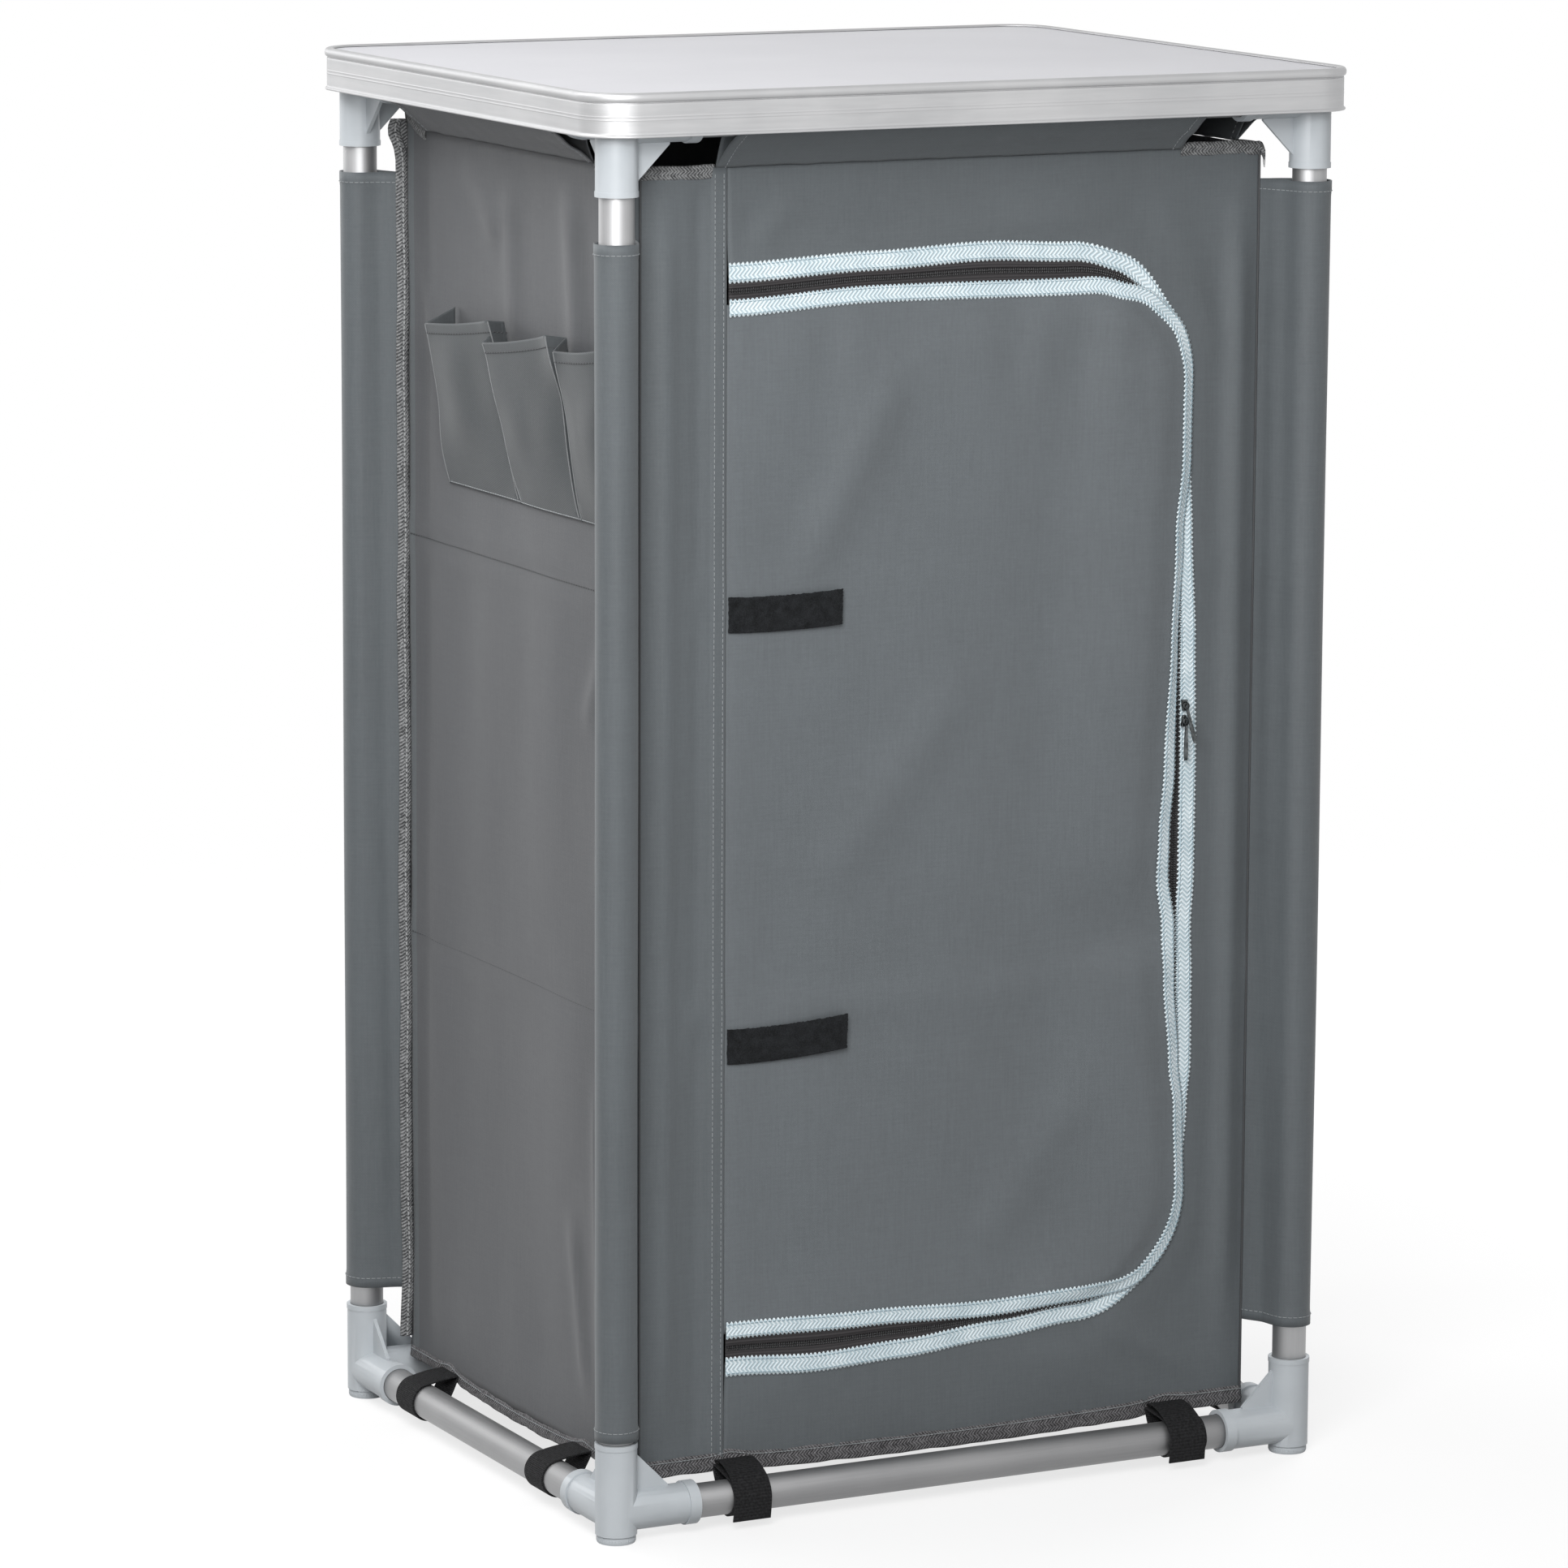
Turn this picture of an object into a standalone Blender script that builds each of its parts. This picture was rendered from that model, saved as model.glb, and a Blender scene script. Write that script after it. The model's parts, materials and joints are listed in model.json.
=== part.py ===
"""Fabric camp kitchen cupboard.

A frame of round tubes and three-way corner mouldings carries a sewn three-tier cabinet with a
zipped door, and a rimmed tabletop that lifts off. Metres, +Z up, the door faces -Y, and the
origin is on the floor under the middle of the cupboard.
"""

import math

import bmesh
import bpy
from mathutils import Matrix, Vector

# Overall sizes
TABLE_LENGTH = 0.610
TABLE_WIDTH = 0.500
OVERALL_HEIGHT = 1.030
TABLE_OVERHANG = 0.028
GAP = 0.0003
OVERRUN = 0.002

# Tabletop: a laminated board in a bent extrusion
RIM_HEIGHT = 0.031
RIM_CORNER_RADIUS = 0.035
RIM_FLANGE = 0.002
RIM_WALL = 0.0016
RIM_SKIN = 0.0015
RIM_BEAD = 0.006
RIM_BEAD_STEP = 0.001
RIM_GROOVE_DEPTH = 0.0006
RIM_GROOVE_HEIGHT = 0.0025
RIM_GROOVE_LEVEL = 0.0125
RIM_TOP_LIP = 0.0065
RIM_LEDGE = 0.0055
BOARD_THICKNESS = 0.004

# Tubes and corner mouldings
TUBE_DIAMETER = 0.025
TUBE_WALL = 0.0012
SOCKET_DIAMETER = 0.030
ARM_DIAMETER = 0.0294
CORNER_HEIGHT = 0.0665
LEG_SOCKET_DEPTH = 0.034
ARM_REACH = 0.0605
ARM_SOCKET_DEPTH = 0.040
COLLAR_LENGTH = 0.0085
COLLAR_STEP = 0.0012
GUSSET_THICKNESS = 0.003
GUSSET_REACH = 0.040
GUSSET_DROP = 0.0108
GUSSET_END = 0.0045

# Levelling feet
FOOT_HEIGHT = 0.0055
FOOT_DIAMETER = 0.0285
FOOT_TAPER = 0.0009
STUD_DIAMETER = 0.008
STUD_LENGTH = 0.016

# Cabinet of sewn panels
FABRIC = 0.0012
FABRIC_INSET = 0.026
CABINET_LIFT = 0.0143
CABINET_DROP = 0.036
FLOOR_LIFT = 0.004
SHELF_THICKNESS = 0.004
SHELF_SHARES = (0.3526, 0.6763)
FOLD_DEPTH = 0.0045
FOLD_COUNT = 3
FOLD_SPREAD_SHARE = 0.83
PANEL_COLUMNS = 12
PANEL_ROWS = 12

# Zipped door
STRIP_WIDTH = 0.072
SEAM_GAP = 0.001
ZIP_SIDE_MARGIN = 0.062
ZIP_TOP_MARGIN = 0.085
ZIP_BOTTOM_MARGIN = 0.090
ZIP_RADIUS = 0.080
TAPE_SHOWN = 0.006
FRAME_TRIM_WIDTH = 0.015
DOOR_TRIM_WIDTH = 0.011
TRIM_THICKNESS = 0.0014
DOOR_FOLD_DEPTH = 0.003
DOOR_FOLD_MARGIN = 0.065

# Zip sliders and their pulls
SLIDER_LENGTH = 0.010
SLIDER_WIDTH = 0.006
SLIDER_DEPTH = 0.0032
SLIDER_SPACING = 0.0115
SLIDER_HEIGHT_SHARE = 0.578
BRIDGE_HEIGHT = 0.0046
BRIDGE_BAR = 0.001
BRIDGE_SPAN = 0.007
PULL_LENGTH = 0.030
PULL_WIDTH = 0.0044
PULL_THICKNESS = 0.001
PULL_EYE = 0.005
PULL_PIVOT = 0.0014
UPPER_PULL_LEAN = math.radians(28.0)

# Hook-and-loop straps
TIE_WIDTH = 0.0255
TIE_THICKNESS = 0.0014
TIE_LIFT = 0.0011
UPPER_TIE_LENGTH = 0.089
LOWER_TIE_LENGTH = 0.095
UPPER_TIE_DROP = 0.013
LOWER_TIE_DROP = 0.021
STRAP_WIDTH = 0.030
STRAP_THICKNESS = 0.0015
STRAP_TAIL_BOTTOM = 0.006
STRAP_PLACE_SHARES = {
    "front": (-0.69, 0.73),
    "back": (-0.71, 0.71),
    "left": (-0.58, 0.62),
    "right": (-0.60, 0.60),
}

# Sleeves round the legs and flaps round the top rails
SLEEVE_SHORTFALL = 0.086
SLEEVE_LIFTS = {
    "front_left": 0.039,
    "front_right": 0.062,
    "back_left": 0.052,
    "back_right": 0.054,
}
FLAP_END_CLEARANCE = 0.002
FLAP_SPAN_SHARES = {
    "front": (-0.88, 0.86),
    "back": (-0.86, 0.86),
    "left": (-0.83, 1.00),
    "right": (-1.00, 0.94),
}

# Row of open pockets on the left panel
POCKET_EDGE_SHARES = (0.571, 0.005, -0.561, -0.975)
POCKET_LIFT = 0.043
POCKET_HEIGHT = 0.124
POCKET_BACK_RISE = 0.011
POCKET_REACH = 0.023
POCKET_FOOT = 0.003

# Roundness of turned pieces and of bends
ROUND_STEPS = 16
BEND_STEPS = 6

# Sizes that follow from the ones above
LEG_X = TABLE_LENGTH / 2 - TABLE_OVERHANG
LEG_Y = TABLE_WIDTH / 2 - TABLE_OVERHANG
TUBE_RADIUS = TUBE_DIAMETER / 2
SOCKET_RADIUS = SOCKET_DIAMETER / 2
ARM_RADIUS = ARM_DIAMETER / 2
ARM_LEVEL = ARM_RADIUS + COLLAR_STEP
BOARD_TOP = OVERALL_HEIGHT - RIM_SKIN - GAP
BOARD_BOTTOM = BOARD_TOP - BOARD_THICKNESS
UPPER_CORNER_TOP = BOARD_BOTTOM - GAP
LOWER_CORNER_BOTTOM = FOOT_HEIGHT + GAP
LOWER_RAIL_Z = LOWER_CORNER_BOTTOM + ARM_LEVEL
UPPER_RAIL_Z = UPPER_CORNER_TOP - ARM_LEVEL
CABINET_X = LEG_X - FABRIC_INSET
CABINET_Y = LEG_Y - FABRIC_INSET
FRONT_Y = -CABINET_Y
CABINET_BOTTOM = LOWER_RAIL_Z + CABINET_LIFT
CABINET_TOP = UPPER_RAIL_Z - CABINET_DROP
CABINET_HEIGHT = CABINET_TOP - CABINET_BOTTOM
SHELF_LEVELS = [CABINET_BOTTOM + CABINET_HEIGHT * share for share in SHELF_SHARES]
LOWER_SHELF_LEVEL, UPPER_SHELF_LEVEL = SHELF_LEVELS
HINGE_X = STRIP_WIDTH - CABINET_X
ZIP_X = CABINET_X - ZIP_SIDE_MARGIN
ZIP_TOP = CABINET_TOP - ZIP_TOP_MARGIN
ZIP_BOTTOM = CABINET_BOTTOM + ZIP_BOTTOM_MARGIN
TRIM_Y = FRONT_Y - GAP - TRIM_THICKNESS
SLIDER_Y = TRIM_Y - GAP
TIE_Y = FRONT_Y - TIE_LIFT - TIE_THICKNESS

PARTS = bpy.data.collections.new("camp_kitchen_cupboard")
CUTTERS = bpy.data.collections.new("cutters")


def clear_scene():
    for obj in list(bpy.data.objects):
        bpy.data.objects.remove(obj)
    bpy.context.scene.collection.children.link(PARTS)
    bpy.context.scene.collection.children.link(CUTTERS)


def finish(name, colour, roughness, metallic=0.0):
    """A Principled material in the piece's own colour."""
    material = bpy.data.materials.new(name)
    material.use_nodes = True
    shader = material.node_tree.nodes["Principled BSDF"]
    shader.inputs["Base Color"].default_value = (*colour, 1.0)
    shader.inputs["Roughness"].default_value = roughness
    shader.inputs["Metallic"].default_value = metallic
    material.diffuse_color = (*colour, 1.0)
    return material


def as_piece(name, data, material):
    obj = bpy.data.objects.new(name, data)
    PARTS.objects.link(obj)
    if material and not data.materials:
        data.materials.append(material)
    return obj


def as_cutter(obj):
    PARTS.objects.unlink(obj)
    CUTTERS.objects.link(obj)
    obj.hide_render = True
    obj.display_type = "WIRE"
    return obj


def mesh_piece(name, bm, material, sharp_angle=math.radians(35.0)):
    bmesh.ops.recalc_face_normals(bm, faces=bm.faces)
    if bm.calc_volume(signed=True) < 0:
        bmesh.ops.reverse_faces(bm, faces=bm.faces)
    mesh = bpy.data.meshes.new(name)
    bm.to_mesh(mesh)
    bm.free()
    mesh.shade_smooth()
    mesh.set_sharp_from_angle(angle=sharp_angle)
    return as_piece(name, mesh, material)


def along_line(start, along):
    """A placement whose own Z runs along a line."""
    return Matrix.Translation(start) @ along.to_track_quat("Z", "Y").to_matrix().to_4x4()


def axes_matrix(origin, x_axis, z_axis):
    """A placement from its origin and the directions of its own X and Z."""
    x_axis = Vector(x_axis).normalized()
    z_axis = Vector(z_axis).normalized()
    y_axis = z_axis.cross(x_axis)
    turn = Matrix((x_axis, y_axis, z_axis)).transposed().to_4x4()
    return Matrix.Translation(origin) @ turn


def cylinder(name, radius, start, end, material=None):
    """A solid round bar between two points."""
    along = Vector(end) - Vector(start)
    bm = bmesh.new()
    bmesh.ops.create_cone(
        bm, cap_ends=True, segments=ROUND_STEPS, radius1=radius, radius2=radius, depth=along.length
    )
    bm.transform(Matrix.Translation((0, 0, along.length / 2)))
    obj = mesh_piece(name, bm, material)
    obj.matrix_world = along_line(start, along)
    return obj


def block(name, low, high, material=None, origin=None):
    """A rectangular solid between two corners, its origin in its middle or at a given point."""
    low, high = Vector(low), Vector(high)
    middle = (low + high) / 2
    origin = Vector(origin) if origin else middle
    bm = bmesh.new()
    bmesh.ops.create_cube(bm, size=1.0)
    bm.transform(Matrix.Translation(middle - origin) @ Matrix.Diagonal((*(high - low), 1.0)))
    obj = mesh_piece(name, bm, material)
    obj.location = origin
    return obj


def turned(name, profile, material):
    """A closed (radius, height) outline spun round Z."""
    bm = bmesh.new()
    verts = [bm.verts.new((r, 0.0, z)) for r, z in profile]
    edges = [bm.edges.new((verts[i - 1], verts[i])) for i in range(len(verts))]
    bmesh.ops.spin(
        bm, geom=verts + edges, axis=(0, 0, 1), cent=(0, 0, 0), angle=math.tau,
        steps=ROUND_STEPS, use_merge=True,
    )
    bmesh.ops.remove_doubles(bm, verts=bm.verts, dist=GAP / 100)
    return mesh_piece(name, bm, material)


def poly_curve(name, outlines):
    curve = bpy.data.curves.new(name, "CURVE")
    curve.dimensions = "2D"
    for outline in outlines:
        spline = curve.splines.new("POLY")
        spline.points.add(len(outline) - 1)
        for point, (x, y) in zip(spline.points, outline):
            point.co = (x, y, 0.0, 1.0)
        spline.use_cyclic_u = True
    return curve


def flat_piece(name, outlines, thickness, placement, material):
    """A flat outline, with any holes as further outlines, given a thickness along its own Z."""
    curve = poly_curve(name, outlines)
    curve.fill_mode = "BOTH"
    curve.extrude = thickness / 2
    obj = as_piece(name, curve, material)
    obj.matrix_world = placement
    return to_mesh(obj)


def to_mesh(obj):
    """Replace a curve, or a piece with modifiers, by its welded mesh."""
    bpy.context.view_layer.update()
    placement = obj.matrix_world.copy()
    evaluated = obj.evaluated_get(bpy.context.evaluated_depsgraph_get())
    bm = bmesh.new()
    bm.from_mesh(bpy.data.meshes.new_from_object(evaluated))
    bmesh.ops.remove_doubles(bm, verts=bm.verts, dist=GAP / 100)
    name = obj.name
    material = obj.data.materials[0] if obj.data.materials else None
    bpy.data.objects.remove(obj)
    solid = mesh_piece(name, bm, material)
    solid.matrix_world = placement
    bpy.context.view_layer.update()
    return solid


def combine(base, others, operation):
    """Join the others to the base, or cut them from it, and keep one solid."""
    for other in others:
        as_cutter(other)
        step = base.modifiers.new(other.name, "BOOLEAN")
        step.operation = operation
        step.solver = "EXACT"
        step.object = other
    solid = to_mesh(base)
    for other in others:
        bpy.data.objects.remove(other)
    return solid


def arc(centre, radius, start, end, steps=BEND_STEPS):
    """Points on an arc, angles in degrees."""
    turn = [math.radians(start + (end - start) * i / steps) for i in range(steps + 1)]
    return [(centre[0] + radius * math.cos(a), centre[1] + radius * math.sin(a)) for a in turn]


def rounded_rectangle(half_x, half_y, radius):
    cx, cy = half_x - radius, half_y - radius
    return (
        arc((cx, cy), radius, 0, 90)
        + arc((-cx, cy), radius, 90, 180)
        + arc((-cx, -cy), radius, 180, 270)
        + arc((cx, -cy), radius, 270, 360)
    )


def upright(y_front, thickness):
    """Placement of an outline drawn in (x, z), whose front face lies at y_front."""
    return axes_matrix((0, y_front + thickness / 2, 0), (1, 0, 0), (0, -1, 0))


# Tabletop
def rim_profile():
    """(inward, height) outline of the extrusion, measured from its outermost edge and its foot."""
    face = RIM_FLANGE
    inner = RIM_FLANGE + RIM_WALL
    ledge_top = BOARD_BOTTOM - GAP - (OVERALL_HEIGHT - RIM_HEIGHT)
    ledge_bottom = ledge_top - RIM_SKIN
    bead_foot = RIM_HEIGHT - RIM_BEAD
    groove_foot = RIM_GROOVE_LEVEL
    groove_head = RIM_GROOVE_LEVEL + RIM_GROOVE_HEIGHT
    return [
        (0.0, 0.0),
        (0.0, RIM_SKIN),
        (face, RIM_SKIN),
        (face, groove_foot),
        (face + RIM_GROOVE_DEPTH, groove_foot),
        (face + RIM_GROOVE_DEPTH, groove_head),
        (face, groove_head),
        (face, bead_foot),
        (face - RIM_BEAD_STEP, bead_foot + RIM_BEAD_STEP),
        (face - RIM_BEAD_STEP, RIM_HEIGHT - 2 * RIM_SKIN),
        (face + RIM_SKIN, RIM_HEIGHT),
        (inner + RIM_TOP_LIP, RIM_HEIGHT),
        (inner + RIM_TOP_LIP, RIM_HEIGHT - RIM_SKIN),
        (inner, RIM_HEIGHT - RIM_SKIN),
        (inner, ledge_top),
        (inner + RIM_LEDGE, ledge_top),
        (inner + RIM_LEDGE, ledge_bottom),
        (inner, ledge_bottom),
        (inner, 0.0),
    ]


def tabletop(alloy, laminate):
    """The rim is its profile swept round a rounded rectangle; the board is held in its channel."""
    section = as_cutter(as_piece("rim_section", poly_curve("rim_section", [rim_profile()]), None))
    outline = rounded_rectangle(TABLE_LENGTH / 2, TABLE_WIDTH / 2, RIM_CORNER_RADIUS)
    path = poly_curve("tabletop_rim", [outline])
    path.fill_mode = "NONE"
    path.bevel_mode = "OBJECT"
    path.bevel_object = section
    rim = to_mesh(as_piece("tabletop_rim", path, alloy))
    bpy.data.objects.remove(section)
    rim.location.z = OVERALL_HEIGHT - RIM_HEIGHT
    inset = RIM_FLANGE + RIM_WALL + GAP
    outline = rounded_rectangle(
        TABLE_LENGTH / 2 - inset, TABLE_WIDTH / 2 - inset, RIM_CORNER_RADIUS - inset
    )
    middle = Matrix.Translation((0, 0, (BOARD_TOP + BOARD_BOTTOM) / 2))
    flat_piece("tabletop_board", [outline], BOARD_THICKNESS, middle, laminate)


# Frame
def corner_mesh(plastic):
    """One three-way moulding: leg socket up Z, arms along X and Y, gussets between them."""
    base = cylinder("corner", SOCKET_RADIUS, (0, 0, 0), (0, 0, CORNER_HEIGHT), plastic)
    arm_top = ARM_LEVEL + ARM_RADIUS
    gusset = [
        (0.0, ARM_LEVEL),
        (GUSSET_REACH, ARM_LEVEL),
        (GUSSET_REACH, arm_top + GUSSET_END),
        (SOCKET_RADIUS, CORNER_HEIGHT - GUSSET_DROP),
        (0.0, CORNER_HEIGHT - GUSSET_DROP),
    ]
    added, removed = [], []
    for label, along, side in (("x", (1, 0, 0), (0, -1, 0)), ("y", (0, 1, 0), (1, 0, 0))):
        along, axis = Vector(along), Vector((0, 0, ARM_LEVEL))
        end = axis + along * ARM_REACH
        collar = end - along * COLLAR_LENGTH
        added.append(cylinder(f"arm_{label}", ARM_RADIUS, axis, (collar + end) / 2))
        added.append(cylinder(f"collar_{label}", ARM_RADIUS + COLLAR_STEP, collar, end))
        plane = axes_matrix((0, 0, 0), along, side)
        added.append(flat_piece(f"gusset_{label}", [gusset], GUSSET_THICKNESS, plane, plastic))
        floor = end - along * ARM_SOCKET_DEPTH
        removed.append(cylinder(f"bore_{label}", TUBE_RADIUS + GAP, floor, end + along * OVERRUN))
    leg_floor = CORNER_HEIGHT - LEG_SOCKET_DEPTH
    leg_end = CORNER_HEIGHT + OVERRUN
    removed.append(cylinder("bore_leg", TUBE_RADIUS + GAP, (0, 0, leg_floor), (0, 0, leg_end)))
    stud_end = STUD_LENGTH + OVERRUN
    stud_bore = STUD_DIAMETER / 2 + GAP
    removed.append(cylinder("bore_stud", stud_bore, (0, 0, -OVERRUN), (0, 0, stud_end)))
    solid = combine(combine(base, added, "UNION"), removed, "DIFFERENCE")
    mesh = solid.data
    mesh.transform(solid.matrix_world)
    bpy.data.objects.remove(solid)
    return mesh


CORNERS = {
    "front_left": (-1, -1),
    "front_right": (1, -1),
    "back_right": (1, 1),
    "back_left": (-1, 1),
}


def frame(alloy, plastic, foot_plastic):
    """Legs, rails, corner mouldings and levelling feet."""
    mesh = corner_mesh(plastic)
    foot_radius = FOOT_DIAMETER / 2
    stud = STUD_DIAMETER / 2
    foot_profile = [
        (0.0, 0.0),
        (foot_radius - FOOT_TAPER, 0.0),
        (foot_radius, FOOT_HEIGHT / 2),
        (foot_radius, FOOT_HEIGHT),
        (stud, FOOT_HEIGHT),
        (stud, FOOT_HEIGHT + STUD_LENGTH),
        (0.0, FOOT_HEIGHT + STUD_LENGTH),
    ]
    for turns, (name, (side_x, side_y)) in enumerate(CORNERS.items()):
        x, y = side_x * LEG_X, side_y * LEG_Y
        turn = Matrix.Rotation(turns * math.pi / 2, 4, "Z")
        lower = as_piece(f"lower_corner_{name}", mesh, plastic)
        lower.matrix_world = Matrix.Translation((x, y, LOWER_CORNER_BOTTOM)) @ turn
        upper = as_piece(f"upper_corner_{name}", mesh, plastic)
        flipped = Matrix.Rotation((turns + 1) * math.pi / 2, 4, "Z") @ Matrix.Rotation(math.pi, 4, "X")
        upper.matrix_world = Matrix.Translation((x, y, UPPER_CORNER_TOP)) @ flipped
        foot = turned(f"foot_{name}", foot_profile, foot_plastic)
        foot.location = (x, y, 0)
        socket_floor = CORNER_HEIGHT - LEG_SOCKET_DEPTH + GAP
        leg_low = LOWER_CORNER_BOTTOM + socket_floor
        leg_high = UPPER_CORNER_TOP - socket_floor
        tube(f"leg_{name}", (x, y, leg_low), (x, y, leg_high), alloy)
    seat = ARM_REACH - ARM_SOCKET_DEPTH + GAP
    for level, z in (("lower", LOWER_RAIL_Z), ("upper", UPPER_RAIL_Z)):
        for name, y in (("front", -LEG_Y), ("back", LEG_Y)):
            tube(f"{level}_rail_{name}", (seat - LEG_X, y, z), (LEG_X - seat, y, z), alloy)
        for name, x in (("left", -LEG_X), ("right", LEG_X)):
            tube(f"{level}_rail_{name}", (x, seat - LEG_Y, z), (x, LEG_Y - seat, z), alloy)


def tube(name, start, end, material):
    start, end = Vector(start), Vector(end)
    along = end - start
    bore = TUBE_RADIUS - TUBE_WALL
    wall = [(TUBE_RADIUS, 0.0), (TUBE_RADIUS, along.length), (bore, along.length), (bore, 0.0)]
    obj = turned(name, wall, material)
    obj.matrix_world = along_line(start, along)
    return obj


# Loops of fabric or webbing round a tube
def loop_band(name, centre, tip, along, length, thickness, material):
    """A band that goes round a tube and closes at a tip, as long as it is along the tube."""
    inner = TUBE_RADIUS + GAP
    outer = inner + thickness
    towards = Vector(tip) - Vector(centre)
    half = math.degrees(math.acos(outer / towards.length))
    ring = arc((0, 0), outer, half, 360 - half, ROUND_STEPS)
    outside = [(towards.length, 0.0)] + ring
    inside = [(x * inner / outer, y * inner / outer) for x, y in outside]
    return flat_piece(name, [outside, inside], length, axes_matrix(centre, towards, along), material)


def sleeves(fabric):
    """A tunnel down each leg, sewn into the cabinet's upright corner seam."""
    length = CABINET_HEIGHT - SLEEVE_SHORTFALL
    for name, (side_x, side_y) in CORNERS.items():
        z = CABINET_BOTTOM + SLEEVE_LIFTS[name] + length / 2
        centre = (side_x * LEG_X, side_y * LEG_Y, z)
        tip = (side_x * (CABINET_X + GAP), side_y * (CABINET_Y + GAP), z)
        loop_band(f"sleeve_{name}", centre, tip, (0, 0, 1), length, FABRIC, fabric)


SIDES = {
    "front": (Vector((1, 0, 0)), Vector((0, -1, 0)), LEG_Y, LEG_X),
    "back": (Vector((1, 0, 0)), Vector((0, 1, 0)), LEG_Y, LEG_X),
    "left": (Vector((0, 1, 0)), Vector((-1, 0, 0)), LEG_X, LEG_Y),
    "right": (Vector((0, 1, 0)), Vector((1, 0, 0)), LEG_X, LEG_Y),
}


def top_flaps(fabric):
    """Each flap rises from the cabinet's top edge and loops over a top rail."""
    for name, (along, outward, rail, half_rail) in SIDES.items():
        free = half_rail - ARM_REACH - FLAP_END_CLEARANCE
        low, high = [share * free for share in FLAP_SPAN_SHARES[name]]
        middle = along * (low + high) / 2
        centre = middle + outward * rail + Vector((0, 0, UPPER_RAIL_Z))
        edge = rail - FABRIC_INSET - FABRIC / 2
        tip = middle + outward * edge + Vector((0, 0, CABINET_TOP + GAP))
        loop_band(f"top_flap_{name}", centre, tip, along, high - low, FABRIC, fabric)


def base_straps(webbing):
    """Two straps a side hold the cabinet's bottom edge to the bottom rails."""
    for name, (along, outward, rail, half_rail) in SIDES.items():
        half_panel = half_rail - FABRIC_INSET
        for place, share in zip(("a", "b"), STRAP_PLACE_SHARES[name]):
            middle = along * share * half_panel
            centre = middle + outward * rail + Vector((0, 0, LOWER_RAIL_Z))
            edge = rail - FABRIC_INSET - FABRIC / 2
            tip = middle + outward * edge + Vector((0, 0, CABINET_BOTTOM - GAP))
            strap_name = f"base_strap_{name}_{place}"
            strap = loop_band(
                strap_name, centre, tip, along, STRAP_WIDTH, STRAP_THICKNESS, webbing
            )
            if name != "front":
                continue
            reach = rail + TUBE_RADIUS + GAP + STRAP_THICKNESS / 2
            inner = middle + outward * reach - along * STRAP_WIDTH / 2
            outer = middle + outward * (reach + STRAP_THICKNESS) + along * STRAP_WIDTH / 2
            inner.z = STRAP_TAIL_BOTTOM
            outer.z = LOWER_RAIL_Z + TUBE_RADIUS / 2
            low = [min(a, b) for a, b in zip(inner, outer)]
            high = [max(a, b) for a, b in zip(inner, outer)]
            combine(strap, [block("tail", low, high)], "UNION")


# Cabinet panels
TIERS = (
    (CABINET_BOTTOM, LOWER_SHELF_LEVEL),
    (LOWER_SHELF_LEVEL, UPPER_SHELF_LEVEL),
    (UPPER_SHELF_LEVEL, CABINET_TOP),
)
DOOR_TIERS = (
    (ZIP_BOTTOM + DOOR_FOLD_MARGIN, LOWER_SHELF_LEVEL),
    (LOWER_SHELF_LEVEL, UPPER_SHELF_LEVEL),
    (UPPER_SHELF_LEVEL, ZIP_TOP - DOOR_FOLD_MARGIN),
)


def fold_swell(across, z, tiers):
    """Share of full fold depth: upright folds in each tier, none at its seams or side edges."""
    across = across / FOLD_SPREAD_SHARE
    for order, (low, high) in enumerate(tiers):
        if abs(across) < 1 and low < z < high:
            rise = math.sin(math.pi * (z - low) / (high - low)) ** 2
            edge = math.cos(math.pi * across / 2)
            wave = (1 + math.cos(math.pi * FOLD_COUNT * across + order)) / 2
            return rise * edge * wave
    return 0.0


def hanging_sheet(name, middle, outward, width, height, depth, tiers, material):
    """A sheet of cloth whose outer face is centred at middle, swelling outward in folds."""
    bm = bmesh.new()
    bmesh.ops.create_grid(bm, x_segments=PANEL_COLUMNS, y_segments=PANEL_ROWS, size=0.5)
    bm.transform(Matrix.Diagonal((width, height, 1.0, 1.0)))
    for vert in bm.verts:
        vert.co.z = depth * fold_swell(2 * vert.co.x / width, vert.co.y + middle[2], tiers)
    mesh = bpy.data.meshes.new(name)
    bm.to_mesh(mesh)
    bm.free()
    mesh.shade_smooth()
    obj = as_piece(name, mesh, material)
    obj.matrix_world = axes_matrix(middle, Vector((0, 0, 1)).cross(Vector(outward)), outward)
    thicken = obj.modifiers.new("thickness", "SOLIDIFY")
    thicken.thickness = FABRIC
    thicken.offset = -1.0
    return obj


def side_panel(name, outward, distance, width, tiers, material):
    middle = Vector(outward) * distance + Vector((0, 0, CABINET_BOTTOM + CABINET_HEIGHT / 2))
    hanging_sheet(name, middle, outward, width, CABINET_HEIGHT, FOLD_DEPTH, tiers, material)


def zip_path(offset):
    """The zip's run, from the hinge seam over the top, down the right and back, as (x, z)."""
    radius = ZIP_RADIUS + offset
    centre_x = ZIP_X - ZIP_RADIUS
    top = (centre_x, ZIP_TOP - ZIP_RADIUS)
    bottom = (centre_x, ZIP_BOTTOM + ZIP_RADIUS)
    start = (HINGE_X + SEAM_GAP, ZIP_TOP + offset)
    end = (HINGE_X + SEAM_GAP, ZIP_BOTTOM - offset)
    return [start] + arc(top, radius, 90, 0) + arc(bottom, radius, 0, -90) + [end]


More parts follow.
